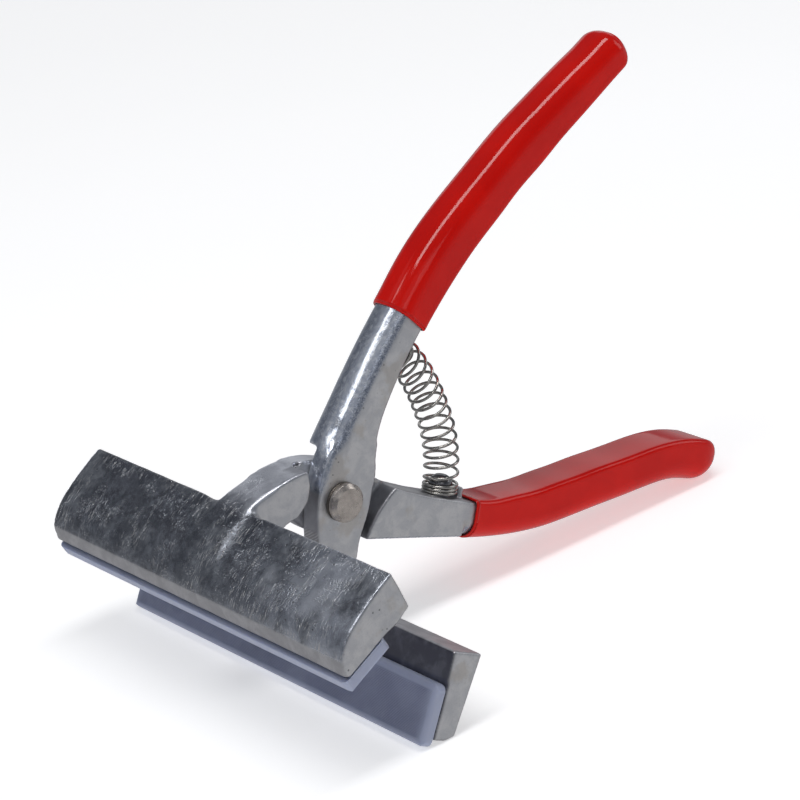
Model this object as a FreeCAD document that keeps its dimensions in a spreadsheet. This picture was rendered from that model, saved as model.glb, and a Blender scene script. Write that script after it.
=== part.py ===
import FreeCAD, Part
import os, math
from FreeCAD import Vector as V

# Wide-jaw canvas stretching pliers.  Two cast levers cross in a lap joint on one
# rivet.  Every sub-part is drawn in the pivot frame (pivot axis = local Y through
# the local origin, +X towards the handles, +Z up) and is set into the part frame by
# its Placement: the pliers stand on the foot of the lower jaw and on the tip of the
# lower handle, so the pivot frame is tipped about Y by tilt_deg and lifted.

doc = FreeCAD.newDocument("stretching_pliers")
sheet = doc.addObject("Spreadsheet::Sheet", "dims")
ROWS = [
    ("jaw_width", 120.0), ("lever_thick", 12.4), ("half_thick", 6.2), ("lap_gap", 0.10),
    ("lap_half", 6.15), ("tilt_deg", 19.06), ("pivot_x", -44.321), ("pivot_z", 41.4264),
    ("rivet_shank_rad", 3.0), ("lever_bore_rad", 3.05), ("head_rad", 5.05), ("head_tall", 2.4),
    ("head_bevel", 1.0), ("head_lip", 0.35), ("washer_rad", 5.1), ("washer_thick", 0.8), ("washer_bore_rad", 3.05),
    ("tail_rad", 4.6), ("tail_tall", 1.7), ("back_play", 0.05),
    ("outer_round", 5.0), ("inner_round", 0.8), ("grip_wall", 0.8),
    ("wire_rad", 0.4), ("coil_rad", 4.4), ("arc_rad", 38.0), ("arc_bow", 2.9), ("arc_bow_from_deg", 36.0),
    ("arc_low_deg", -1.2), ("arc_high_deg", 68.4), ("coil_turns", 17.0), ("stud_rad", 3.2), ("stud_tall", 5.6), ("stud_shank_rad", 1.6), ("stud_shank_len", 4.0),
    ("pad_width", 119.4), ("film_thick", 0.2), ("film_width", 117.0), ("face_upper", 4.20), ("face_lower", 4.10),
    ("bed_upper", 8.40), ("bed_lower", 0.70), ("pad_rear", 31.4), ("pad_front_upper", 46.0), ("pad_front_lower", 46.9), ("pad_round", 1.5),
    ("dir_upper_deg", 227.33), ("dir_lower_deg", 261.90), ("seat_rad", 5.3),
]
for i, (name, val) in enumerate(ROWS, start=1):
    sheet.set("A%d" % i, name)
    sheet.set("B%d" % i, repr(val))
    sheet.setAlias("B%d" % i, name)
doc.recompute()
def D(name):
    return float(sheet.get(name))

HT = D("half_thick")


def placement():
    """Pivot frame into the part frame."""
    return FreeCAD.Placement(V(D("pivot_x"), 0, D("pivot_z")),
                             FreeCAD.Rotation(V(0, 1, 0), D("tilt_deg")))


def bind_placement(obj):
    obj.Placement = placement()
    obj.setExpression("Placement.Base.x", "dims.pivot_x")
    obj.setExpression("Placement.Base.z", "dims.pivot_z")


def role_plane(body, role):
    return next(f for f in body.Origin.OriginFeatures if f.Role == role)


def new_body(name):
    b = doc.addObject("PartDesign::Body", name)
    b.Label = name
    return b


def sketch(body, name, wires, y_start=0.0):
    """Sketch in the local XZ plane (its normal is local -Y), moved to y = y_start."""
    sk = body.newObject("Sketcher::SketchObject", name)
    sk.AttachmentSupport = [(role_plane(body, "XZ_Plane"), "")]
    sk.MapMode = "FlatFace"
    sk.AttachmentOffset = FreeCAD.Placement(V(0, 0, -y_start), FreeCAD.Rotation())
    for geo in wires:
        sk.addGeometry(geo, False)
    doc.recompute()
    return sk


def poly(pts):
    """Closed run of straight lines."""
    n = len(pts)
    return [Part.LineSegment(V(*pts[i], 0), V(*pts[(i + 1) % n], 0)) for i in range(n)]


def chain(*runs):
    """Closed outline: each run of more than two points is one smooth curve, a run of
    two points is a straight line.  Runs share their end points."""
    out = []
    for r in runs:
        if len(r) == 2:
            out.append(Part.LineSegment(V(*r[0], 0), V(*r[1], 0)))
        else:
            c = Part.BSplineCurve()
            c.interpolate([V(*p, 0) for p in r])
            out.append(c)
    return out


def circle(cx, cy, r):
    return [Part.Circle(V(cx, cy, 0), V(0, 0, 1), r)]


def pad(body, name, sk, length, cell=None, midplane=False, towards_back=False):
    """Pad along -Y from the sketch, or +Y with towards_back."""
    p = body.newObject("PartDesign::Pad", name)
    p.Profile = sk
    p.Length = length
    if cell:
        p.setExpression("Length", "dims." + cell)
    p.Midplane = midplane
    p.Reversed = towards_back
    sk.Visibility = False
    doc.recompute()
    return p


def pocket(body, name, sk, length, towards_back=False, cell=None, midplane=False):
    before = body.Shape.Volume
    p = body.newObject("PartDesign::Pocket", name)
    p.Profile = sk
    p.Length = length
    if cell:
        p.setExpression("Length", "dims." + cell)
    p.Midplane = midplane
    # a pocket runs against the sketch normal (-Y) unless reversed
    p.Reversed = not towards_back
    doc.recompute()
    cut = before - body.Shape.Volume
    if cut < 0.5:
        raise RuntimeError("%s cut nothing (%.3f)" % (name, cut))
    return p


def fillet(body, name, base, edges, cell=None, radius=1.0):
    names = []
    for k, e in enumerate(base.Shape.Edges, start=1):
        if edges(e):
            names.append("Edge%d" % k)
    if not names:
        raise RuntimeError(name + ": no edge found")
    f = body.newObject("PartDesign::Fillet", name)
    f.Base = (base, names)
    f.Radius = radius
    if cell:
        f.setExpression("Radius", "dims." + cell)
    doc.recompute()
    if f.Shape.isNull() or not f.Shape.isValid() or "Invalid" in f.State:
        raise RuntimeError(name + " failed on %d edges" % len(names))
    return f


# ---------------------------------------------------------------- handle sections
# Each handle is lofted through D-shaped sections: the palm side is nearly half round,
# the inner side flat with small edges.  The two runs give the palm side and the inner
# side of the bare metal in the pivot plane, from the lap to the tip.
A_PALM = [(-7.35, 3.0), (-7.05, 7.0), (-6.45, 10.4), (-5.3, 13.8), (-0.9, 25.0), (3.7, 36.4), (9.5, 48.9),
          (15.4, 61.3), (20.5, 69.5), (25.9, 76.7), (31.4, 83.4), (36.9, 90.1), (42.5, 96.6), (48.3, 102.5),
          (54.2, 108.4), (60.2, 114.2), (64.0, 117.7)]
A_INNER = [(9.7, 3.0), (9.3, 10.0), (9.2, 16.9), (10.0, 22.9), (11.5, 27.9), (13.0, 31.9), (15.3, 38.0), (18.0, 43.8),
           (22.0, 51.4), (27.1, 60.0), (32.4, 67.7), (37.8, 74.6), (43.3, 81.8), (49.0, 88.1), (54.7, 94.9),
           (60.5, 101.2), (66.2, 107.4), (70.2, 111.8)]
B_PALM = [(36.0, -10.75), (42.0, -11.15), (46.0, -11.35), (52.5, -11.4), (59.6, -11.1), (66.8, -10.4), (74.0, -9.2),
          (81.2, -7.4), (88.3, -5.4), (95.5, -3.4), (102.9, -1.4), (114.0, 1.7), (121.6, 3.1), (129.3, 3.0)]
B_INNER = [(36.0, -0.55), (42.0, -1.3), (46.0, -1.7), (53.6, -1.75), (60.6, -0.7), (68.0, 0.55), (75.0, 2.4), (82.0, 4.2),
           (89.0, 6.2), (96.5, 8.1), (104.0, 10.1), (111.0, 12.0), (118.0, 13.4), (124.5, 13.95), (129.7, 13.75)]


def resample(pts, n, t0=0.0, t1=1.0):
    """n points evenly spaced by length on the smooth curve through pts."""
    c = Part.BSplineCurve()
    c.interpolate([V(*p, 0) for p in pts])
    L = c.length()
    out = []
    for k in range(n):
        q = c.value(c.parameterAtDistance(L * (t0 + (t1 - t0) * k / (n - 1)), c.FirstParameter))
        out.append((q.x, q.y))
    return out


def stations(palm, inner, n, tip, tip_more=0.0, t0=0.0):
    """(centre, across, width, thickness loss) per section; the last ones close the tip.
    across points from the palm side to the inner side."""
    P, Q = resample(palm, n, t0), resample(inner, n, t0)
    out = []
    for p, q in zip(P, Q):
        w = math.hypot(q[0] - p[0], q[1] - p[1])
        out.append([((p[0] + q[0]) / 2, (p[1] + q[1]) / 2), ((q[0] - p[0]) / w, (q[1] - p[1]) / w), w, 0.0])
    (cx, cz), (ex, ez), w, _ = out[-1]
    fx, fz = -ez, ex                      # towards the tip
    if (cx - out[-2][0][0]) * fx + (cz - out[-2][0][1]) * fz < 0:
        fx, fz = -fx, -fz
    for ahead, loss in tip:
        a = ahead + tip_more
        out.append([(cx + fx * a, cz + fz * a), (ex, ez), w - loss, loss])
    return out


def d_section(width, thick, r_palm, r_in):
    """Closed D outline in section axes: x from palm to inner side, y along the pivot."""
    r_palm = min(r_palm, thick / 2 - 0.25, width - r_in - 0.3)
    x0, x1, y = -width / 2, width / 2, thick / 2
    def arc(cx, cy, r, a0):
        return Part.Arc(V(cx + r * math.cos(a0), cy + r * math.sin(a0), 0),
                        V(cx + r * math.cos(a0 + math.pi / 4), cy + r * math.sin(a0 + math.pi / 4), 0),
                        V(cx + r * math.cos(a0 + math.pi / 2), cy + r * math.sin(a0 + math.pi / 2), 0))
    H = math.pi / 2
    return [Part.LineSegment(V(x0 + r_palm, -y, 0), V(x1 - r_in, -y, 0)),
            arc(x1 - r_in, -y + r_in, r_in, -H),
            Part.LineSegment(V(x1, -y + r_in, 0), V(x1, y - r_in, 0)),
            arc(x1 - r_in, y - r_in, r_in, 0.0),
            Part.LineSegment(V(x1 - r_in, y, 0), V(x0 + r_palm, y, 0)),
            arc(x0 + r_palm, y - r_palm, r_palm, H),
            Part.LineSegment(V(x0, y - r_palm, 0), V(x0, -y + r_palm, 0)),
            arc(x0 + r_palm, -y + r_palm, r_palm, 2 * H)]


def section_sketches(body, tag, sts, thick, r_palm, r_in, grow=0.0):
    out = []
    for k, ((cx, cz), (ex, ez), w, loss) in enumerate(sts):
        sk = body.newObject("Sketcher::SketchObject", "%s_%02d" % (tag, k))
        sk.AttachmentSupport = [(role_plane(body, "XZ_Plane"), "")]
        sk.MapMode = "FlatFace"
        rot = FreeCAD.Rotation(V(ex, ez, 0), V(0, 0, -1), V(-ez, ex, 0), "XYZ")
        sk.AttachmentOffset = FreeCAD.Placement(V(cx, cz, 0), rot)
        for g in d_section(w + 2 * grow, thick - loss + 2 * grow, max(r_palm + grow - loss * 0.15, 0.5), r_in + grow):
            sk.addGeometry(g, False)
        sk.Visibility = False
        out.append(sk)
    doc.recompute()
    return out


def loft(body, tag, kind, sks):
    before = body.Shape.Volume if body.Tip else 0.0
    f = body.newObject("PartDesign::" + kind, tag)
    f.Profile = sks[0]
    f.Sections = sks[1:]
    f.Ruled = False
    doc.recompute()
    if "Invalid" in f.State or f.Shape.isNull() or not f.Shape.isValid():
        raise RuntimeError(tag + " failed")
    gain = body.Shape.Volume - before
    if (kind == "AdditiveLoft") != (gain > 0):
        raise RuntimeError("%s changed the volume by %.2f" % (tag, gain))
    return f


def handle(body, tag, sts, thick, r_palm, r_in, grow=0.0):
    """Length of the handle, then its closed tip, so that the tip can't pull the length out of shape."""
    sks = section_sketches(body, tag + "_section", sts, thick, r_palm, r_in, grow)
    n_tip = 5
    loft(body, tag, "AdditiveLoft", sks[:-n_tip])
    loft(body, tag + "_tip", "AdditiveLoft", sks[-n_tip - 1:])


def tip_profile(straight, depth, shrink):
    """(distance ahead, size lost): a straight run, then a quarter ellipse that closes a handle's tip."""
    run = [(straight, 0.0)] if straight > 0 else []
    return run + [(straight + depth * k, shrink * (1.0 - math.sqrt(1.0 - k * k))) for k in (0.35, 0.6, 0.8, 0.92, 0.98)]


# the upper handle ends bluntly, the lower one in a fuller round
A_TIP, A_GRIP_TIP = tip_profile(3.2, 4.0, 6.0), tip_profile(4.9, 4.3, 6.4)
B_TIP, B_GRIP_TIP = tip_profile(0.0, 6.6, 8.6), tip_profile(0.0, 8.3, 9.4)
A_ST = stations(A_PALM, A_INNER, 15, A_TIP)
B_ST = stations(B_PALM, B_INNER, 12, B_TIP)


# ================================================================ lower_jaw_lever
LA = new_body("lower_jaw_lever")
handle(LA, "upper_handle", A_ST, D("lever_thick"), D("outer_round"), D("inner_round"))
# lap: the back half of the shank is cut away round the pivot, up to a sloping shoulder
sk = sketch(LA, "lap_recess_outline", poly([(-12, -2), (-12, 12.4), (-4.6, 12.6), (9.6, 15.6), (16, 15.6), (16, -2)]),
            y_start=-D("lap_gap") / 2)
pocket(LA, "lap_recess", sk, 12.0, towards_back=True)
# hub plate, front half, and the neck below it
HUB_A = chain([(-5.3, 13.8), (-6.45, 10.4), (-7.1, 7.0), (-7.45, 3.0), (-7.4, -1.5), (-6.8, -6.0), (-5.8, -10.5)],
              [(-5.8, -10.5), (-5.0, -21.5)], [(-5.0, -21.5), (5.2, -23.0)], [(5.2, -23.0), (8.2, -14.5)],
              [(8.2, -14.5), (8.35, -9.1), (9.3, -4.5), (9.75, 0.0), (9.65, 6.0), (9.3, 11.0), (9.2, 15.0)],
              [(9.2, 15.0), (-5.3, 13.8)])
sk = sketch(LA, "hub_outline", HUB_A, y_start=-HT)
pad(LA, "hub_plate", sk, D("lap_half"), "lap_half", towards_back=True)
# jaw bar; its inner face has a shallow step down to the bed of the pad
def on_lower(along_face, off):
    a = math.radians(D("dir_lower_deg"))
    return (along_face * math.cos(a) + off * math.sin(a), along_face * math.sin(a) - off * math.cos(a))
def on_upper(along_face, off):
    a = math.radians(D("dir_upper_deg"))
    return (along_face * math.cos(a) + off * math.sin(a), along_face * math.sin(a) - off * math.cos(a))
BL, BU = D("bed_lower"), D("bed_upper")
# the foot under the bar lies flat on the ground when the pliers stand
FOOT_IN, FOOT_OUT = (-2.9, -43.95 - 2.55 * math.tan(math.radians(D("tilt_deg")))), (-0.35, -43.95)
BAR_A = chain([(-4.75, -22.4), (4.35, -23.6)], [(4.35, -23.6), FOOT_OUT], [FOOT_OUT, FOOT_IN],
              [FOOT_IN, (-6.75, -44.45)], [(-6.75, -44.45), on_lower(43.9, BL)], [on_lower(43.9, BL), on_lower(31.0, BL)],
              [on_lower(31.0, BL), on_lower(30.2, BL + 0.55)], [on_lower(30.2, BL + 0.55), (-4.75, -22.4)])
sk = sketch(LA, "lower_bar_section", BAR_A)
bar = pad(LA, "lower_bar", sk, D("jaw_width"), "jaw_width", midplane=True)
# full-thickness neck that carries the bar, with a web down the bar's outer face
NECK_A = chain([(-5.35, -14.0), (-5.0, -22.8)], [(-5.0, -22.8), (0.0, -26.0)], [(0.0, -26.0), (2.4, -33.5)],
               [(2.4, -33.5), (4.9, -27.5), (6.9, -21.0), (8.15, -14.2)], [(8.15, -14.2), (-5.35, -14.0)])
sk = sketch(LA, "neck_outline", NECK_A)
neck = pad(LA, "neck", sk, D("lever_thick"), "lever_thick", midplane=True)
# rivet bore
sk = sketch(LA, "rivet_bore_circle", circle(0, 0, D("rivet_shank_rad")), y_start=-HT - 1)
pocket(LA, "rivet_bore", sk, HT + 3, towards_back=True)

# ================================================================ upper_jaw_lever
LB = new_body("upper_jaw_lever")
handle(LB, "lower_handle", B_ST, D("lever_thick"), D("outer_round"), D("inner_round"))
# shank between the lap and the handle, full thickness
SHANK_B = chain([(10.1, -10.45), (12.9, -3.3), (17.6, 3.0)], [(17.6, 3.0), (21.5, 2.05), (29.3, 0.5), (38.0, -0.75), (43.0, -1.35)],
                [(43.0, -1.35), (43.0, -10.85)], [(43.0, -10.85), (30.0, -10.65), (20.0, -10.5), (10.1, -10.45)])
sk = sketch(LB, "shank_outline", SHANK_B)
pad(LB, "shank", sk, D("lever_thick"), "lever_thick", midplane=True)
# arched arm to the jaw, full thickness, left of the lap
ARM_B = chain([(-12.2, 7.85), (-17.4, 5.9), (-23.0, 2.8), (-26.6, 0.5), (-29.4, -1.9), (-33.6, -6.6), (-36.4, -11.4), (-38.0, -15.0)],
              [(-38.0, -15.0), (-30.0, -16.0)], [(-30.0, -16.0), (-23.0, -12.4)],
              [(-23.0, -12.4), (-20.0, -9.2), (-17.2, -6.6), (-15.1, -5.0), (-13.4, -4.5)],
              [(-13.4, -4.5), (-11.9, -2.2), (-10.6, 0.2)], [(-10.6, 0.2), (-10.55, 3.2), (-12.2, 7.85)])
sk = sketch(LB, "arm_outline", ARM_B)
arm = pad(LB, "arm", sk, D("lever_thick"), "lever_thick", midplane=True)
# hub, back half
HUB_B = chain([(-13.0, 7.7), (-11.7, 8.2), (-8.6, 8.8), (-5.4, 9.1), (-1.8, 9.0), (3.0, 8.2), (9.0, 6.5), (15.2, 4.3), (20.0, 2.3)],
              [(20.0, 2.3), (20.0, -10.5)],
              [(20.0, -10.5), (10.2, -10.45), (5.0, -10.4), (0.0, -10.1), (-5.0, -8.9), (-9.5, -6.4), (-13.6, -4.6)],
              [(-13.6, -4.6), (-13.0, 7.7)])
sk = sketch(LB, "hub_outline_b", HUB_B, y_start=D("lap_gap") / 2)
pad(LB, "hub_plate_b", sk, D("lap_half"), "lap_half", towards_back=True)
# jaw bar
BAR_B = chain([(-28.5, -2.1), (-32.4, -6.8), (-35.5, -11.2), (-38.1, -15.6), (-39.3, -18.9), (-39.7, -22.9)],
              [(-39.7, -22.9), (-38.2, -25.8)], [(-38.2, -25.8), (-37.7, -26.45), (-36.9, -26.75)],
              [(-36.9, -26.75), on_upper(44.0, BU)], [on_upper(44.0, BU), on_upper(31.0, BU)], [on_upper(31.0, BU), on_upper(27.3, BU - 0.5)],
              [on_upper(27.3, BU - 0.5), (-21.2, -10.5)], [(-21.2, -10.5), (-28.5, -2.1)])
sk = sketch(LB, "upper_bar_section", BAR_B)
upper_bar = pad(LB, "upper_bar", sk, D("jaw_width"), "jaw_width", midplane=True)
# running bore for the rivet
sk = sketch(LB, "running_bore_circle", circle(0, 0, D("lever_bore_rad")), y_start=-2)
pocket(LB, "running_bore", sk, HT + 6, towards_back=True)


# spring seats: where the coil's arc meets each lever, with the stud's axis
def arc_at(a):
    """Distance of the coil's centre line from the pivot at angle a: an arc that bows out near its head."""
    a0, a1 = math.radians(D("arc_bow_from_deg")), math.radians(D("arc_high_deg"))
    return D("arc_rad") + D("arc_bow") * (max(0.0, a - a0) / (a1 - a0)) ** 1.4


def seat(deg_cell, sign):
    a = math.radians(D(deg_cell))
    r = arc_at(a)
    return (r * math.cos(a), r * math.sin(a)), (-math.sin(a) * sign, math.cos(a) * sign)
LOW_AT, LOW_DIR = seat("arc_low_deg", 1.0)
HIGH_AT, HIGH_DIR = seat("arc_high_deg", -1.0)


def axis_offset(at, direction, lift=0.0):
    """Attachment in the local XY plane's frame: +Z of the result along direction."""
    z = V(direction[0], 0, direction[1])
    y = V(0, 1, 0)
    x = y.cross(z)
    return FreeCAD.Placement(V(at[0] + direction[0] * lift, 0, at[1] + direction[1] * lift), FreeCAD.Rotation(x, y, z, "ZXY"))


def axial_sketch(body, name, geo, at, direction, lift):
    sk = body.newObject("Sketcher::SketchObject", name)
    sk.AttachmentSupport = [(role_plane(body, "XY_Plane"), "")]
    sk.MapMode = "FlatFace"
    sk.AttachmentOffset = axis_offset(at, direction, lift)
    for g in geo:
        sk.addGeometry(g, False)
    sk.Visibility = False
    doc.recompute()
    return sk


def axial_pad(body, name, sk, length, cell=None):
    p = body.newObject("PartDesign::Pad", name)
    p.Profile = sk
    p.Length = length
    if cell:
        p.setExpression("Length", "dims." + cell)
    doc.recompute()
    return p


def axial_cut(body, name, sk, length, up, cell=None):
    before = body.Shape.Volume
    p = body.newObject("PartDesign::Pocket", name)
    p.Profile = sk
    p.Length = length
    if cell:
        p.setExpression("Length", "dims." + cell)
    p.Reversed = up
    doc.recompute()
    if before - body.Shape.Volume < 0.2:
        raise RuntimeError("%s cut %.3f" % (name, before - body.Shape.Volume))
    return p


# upper jaw lever: an upstand behind the coil's foot on the grip side, a flat seat, and
# the stud's hole.  Angles run from +X towards +Y, the back.
def sector(r0, r1, a0, a1):
    p = lambda r, a: V(r * math.cos(math.radians(a)), r * math.sin(math.radians(a)), 0)
    return [Part.Arc(p(r1, a0), p(r1, (a0 + a1) / 2), p(r1, a1)), Part.LineSegment(p(r1, a1), p(r0, a1)),
            Part.Arc(p(r0, a1), p(r0, (a0 + a1) / 2), p(r0, a0)), Part.LineSegment(p(r0, a0), p(r1, a0))]
sk = axial_sketch(LB, "upstand_outline", sector(5.3, 6.9, -20, 62), LOW_AT, LOW_DIR, -2.0)
axial_pad(LB, "upstand", sk, 4.4)
for lever, at, direction, tag in ((LB, LOW_AT, LOW_DIR, "low"), (LA, HIGH_AT, HIGH_DIR, "high")):
    sk = axial_sketch(lever, "seat_circle_" + tag, circle(0, 0, D("seat_rad")), at, direction, 0.0)
    axial_cut(lever, "seat_face_" + tag, sk, 6.0, True)
    sk = axial_sketch(lever, "stud_hole_circle_" + tag, circle(0, 0, D("stud_shank_rad")), at, direction, 0.0)
    axial_cut(lever, "stud_hole_" + tag, sk, D("stud_shank_len"), False, "stud_shank_len")


# ================================================================ spring studs
def line(a, b):
    return Part.LineSegment(V(a[0], a[1], 0), V(b[0], b[1], 0))


def arc3(a, m, b):
    return Part.Arc(V(a[0], a[1], 0), V(m[0], m[1], 0), V(b[0], b[1], 0))


def stud(name, at, direction):
    """Dome-topped stud with a spigot in the casting, drawn upright and then set on its seat."""
    r, tall, rs, ls = D("stud_rad"), D("stud_tall"), D("stud_shank_rad"), D("stud_shank_len")
    k = math.sqrt(0.5)
    dome = r * 0.85
    c = (r - dome, tall - dome)
    runs = [line((0, -ls + 0.2), (rs, -ls + 0.2)), line((rs, -ls + 0.2), (rs, 0)), line((rs, 0), (r, 0)), line((r, 0), (r, tall - dome)),
            arc3((r, tall - dome), (c[0] + dome * k, c[1] + dome * k), (c[0], tall)), line((c[0], tall), (0, tall)), line((0, tall), (0, -ls + 0.2))]
    b = new_body(name)
    sk = b.newObject("Sketcher::SketchObject", name + "_profile")
    sk.AttachmentSupport = [(role_plane(b, "XZ_Plane"), "")]
    sk.MapMode = "FlatFace"
    for g in runs:
        sk.addGeometry(g, False)
    doc.recompute()
    rv = b.newObject("PartDesign::Revolution", name + "_turned")
    rv.Profile = sk
    rv.ReferenceAxis = (sk, ["V_Axis"])
    rv.Angle = 360.0
    doc.recompute()
    b.Placement = placement() * axis_offset(at, direction)
    return b


LOW_STUD = stud("lower_spring_stud", LOW_AT, LOW_DIR)
HIGH_STUD = stud("upper_spring_stud", HIGH_AT, HIGH_DIR)

# ================================================================ rivet and washers
def pivot_turned(name, runs):
    """Turned about the pivot axis: sketch x = radius, sketch y = local Y (front is -Y)."""
    b = new_body(name)
    sk = b.newObject("Sketcher::SketchObject", name + "_profile")
    sk.AttachmentSupport = [(role_plane(b, "XY_Plane"), "")]
    sk.MapMode = "FlatFace"
    for g in runs:
        sk.addGeometry(g, False)
    doc.recompute()
    rv = b.newObject("PartDesign::Revolution", name + "_turned")
    rv.Profile = sk
    rv.ReferenceAxis = (sk, ["V_Axis"])
    rv.Angle = 360.0
    doc.recompute()
    bind_placement(b)
    return b


wt, hr, ht, bev, lip = D("washer_thick"), D("head_rad"), D("head_tall"), D("head_bevel"), D("head_lip")
rs, tr, tt, play = D("rivet_shank_rad"), D("tail_rad"), D("tail_tall"), D("back_play")
y1 = -HT - wt                    # underside of the head
y2 = HT + play + wt              # underside of the peened tail
RIVET = pivot_turned("pivot_rivet", [
    line((0, y1 - ht), (hr - bev, y1 - ht)), line((hr - bev, y1 - ht), (hr, y1 - ht + bev)), line((hr, y1 - ht + bev), (hr, y1 - lip)),
    line((hr, y1 - lip), (hr - lip, y1)), line((hr - lip, y1), (rs, y1)), line((rs, y1), (rs, y2)), line((rs, y2), (tr, y2)),
    line((tr, y2), (tr, y2 + 0.5)), arc3((tr, y2 + 0.5), (tr * 0.72, y2 + tt * 0.84), (tr * 0.3, y2 + tt)),
    line((tr * 0.3, y2 + tt), (0, y2 + tt)), line((0, y2 + tt), (0, y1 - ht))])


def washer(name, ya):
    r0, r1, t = D("washer_bore_rad"), D("washer_rad"), D("washer_thick")
    return pivot_turned(name, [line((r0, ya), (r1, ya)), line((r1, ya), (r1, ya + t)), line((r1, ya + t), (r0, ya + t)), line((r0, ya + t), (r0, ya))])


FRONT_WASHER = washer("front_rivet_washer", -HT - wt)
BACK_WASHER = washer("back_rivet_washer", HT + play)

# ================================================================ jaw pads and their adhesive
def plate(name, fn, rear, front, face, bed, width_cell, rnd):
    """Plate on a jaw bed: a rectangle in the pivot plane, run across the jaw."""
    b = new_body(name)
    q = [fn(rear, face), fn(rear, bed), fn(front, bed), fn(front, face)]
    sk = sketch(b, name + "_section", poly(q))
    p = pad(b, name + "_plate", sk, D(width_cell), width_cell, midplane=True)
    if rnd:
        qf = [fn(rear, face), fn(front, face)]
        half = D(width_cell) / 2
        # all the edges of the gripping face, and the upright edges of the four corners
        def on_face(e):
            m = e.valueAt((e.ParameterRange[0] + e.ParameterRange[1]) / 2)
            a = V(qf[0][0], 0, qf[0][1]); d = V(qf[1][0] - qf[0][0], 0, qf[1][1] - qf[0][1])
            n = d.cross(V(0, 1, 0)); n.normalize()
            if abs((m - a).dot(n)) < 0.02:
                return True
            return False
        fillet(b, name + "_soft_edges", p, on_face, "pad_round", rnd)
    bind_placement(b)
    return b


FU, FL, FT = D("face_upper"), D("face_lower"), D("film_thick")
UP_PAD = plate("upper_jaw_pad", on_upper, D("pad_rear"), D("pad_front_upper"), FU, BU - FT, "pad_width", D("pad_round"))
LO_PAD = plate("lower_jaw_pad", on_lower, D("pad_rear"), D("pad_front_lower"), FL, BL + FT, "pad_width", D("pad_round"))
UP_FILM = plate("upper_pad_adhesive", on_upper, D("pad_rear") + 0.8, 43.6, BU - FT, BU, "film_width", 0)
LO_FILM = plate("lower_pad_adhesive", on_lower, D("pad_rear") + 0.8, 43.4, BL + FT, BL, "film_width", 0)

# ================================================================ grips
def near_t(pts, target):
    """Share of the curve's length at the point nearest to target."""
    q = resample(pts, 801)
    k = min(range(801), key=lambda i: math.hypot(q[i][0] - target[0], q[i][1] - target[1]))
    return k / 800.0


def grip(name, palm, inner, core_sts, tip, palm_start, inner_start, n):
    P = resample(palm, n, near_t(palm, palm_start))
    Q = resample(inner, n, near_t(inner, inner_start))
    sts = []
    for p, q in zip(P, Q):
        w = math.hypot(q[0] - p[0], q[1] - p[1])
        sts.append([((p[0] + q[0]) / 2, (p[1] + q[1]) / 2), ((q[0] - p[0]) / w, (q[1] - p[1]) / w), w, 0.0])
    (cx, cz), (ex, ez), w, _ = sts[-1]
    fx, fz = -ez, ex
    if (cx - sts[-2][0][0]) * fx + (cz - sts[-2][0][1]) * fz < 0:
        fx, fz = -fx, -fz
    for ahead, loss in tip:
        sts.append([(cx + fx * ahead, cz + fz * ahead), (ex, ez), w - loss, loss])
    outer = new_body(name + "_outer")
    handle(outer, name + "_skin", sts, D("lever_thick"), D("outer_round"), D("inner_round"), D("grip_wall"))
    core = new_body(name + "_core")
    handle(core, name + "_core_stock", core_sts, D("lever_thick"), D("outer_round"), D("inner_round"))
    cut = doc.addObject("Part::Cut", name)
    cut.Base = outer
    cut.Tool = core
    cut.Label = name
    doc.recompute()
    bind_placement(cut)
    return cut


UP_GRIP = grip("upper_grip", A_PALM, A_INNER, A_ST, A_GRIP_TIP, (9.5, 48.9), (18.3, 43.8), 11)
LO_GRIP = grip("lower_grip", B_PALM, B_INNER, B_ST, B_GRIP_TIP, (46.0, -11.35), (46.0, -1.7), 11)

# ================================================================ return spring
def coil():
    """Compression coil bent along an arc about the pivot; closed turns at both ends."""
    r, R, wr = D("coil_rad"), D("arc_rad"), D("wire_rad")
    a0, a1 = math.radians(D("arc_low_deg")), math.radians(D("arc_high_deg"))
    L = R * (a1 - a0)
    turns = D("coil_turns")
    # spacings are along the centre line; the inner side of the bend is tighter
    tight = R / (R - r)
    shut = 2 * wr * tight + 0.04
    n_low, n_high = 3.0, 1.2
    s0, s1 = (wr + 0.02) * tight, L - (wr + 0.02) * tight
    def s_of(t):
        if t < n_low:
            return s0 + shut * t
        if t > turns - n_high:
            return s1 - shut * (turns - t)
        f = (t - n_low) / (turns - n_low - n_high)
        lo, hi = s0 + shut * n_low, s1 - shut * n_high
        return lo + (hi - lo) * f
    per = 12
    pts = []
    N = int(turns * per)
    for k in range(N + 1):
        t = turns * k / N
        s, ph = s_of(t), 2 * math.pi * t
        a = a0 + s / R
        rad = arc_at(a) + r * math.cos(ph)
        pts.append(V(rad * math.cos(a), r * math.sin(ph), rad * math.sin(a)))
    c = Part.BSplineCurve()
    c.interpolate(pts)
    edge = c.toShape()
    wire = Part.Wire([edge])
    tan = edge.tangentAt(edge.FirstParameter)
    prof = Part.Wire([Part.makeCircle(wr, pts[0], tan)])
    solid = wire.makePipeShell([prof], True, True)
    length = edge.Length
    return solid, length


SPRING = doc.addObject("Part::Feature", "return_spring")
SPRING.Label = "return_spring"
shape, wire_len = coil()
if not isinstance(shape, Part.Solid):
    shape = Part.Solid(shape) if shape.ShapeType == "Shell" else shape
SPRING.Shape = shape
bind_placement(SPRING)
print("spring wire length %.1f, volume %.2f against %.2f" % (wire_len, shape.Volume, wire_len * math.pi * D("wire_rad") ** 2))

for b in (LA, LB):
    bind_placement(b)
doc.recompute()

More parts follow.
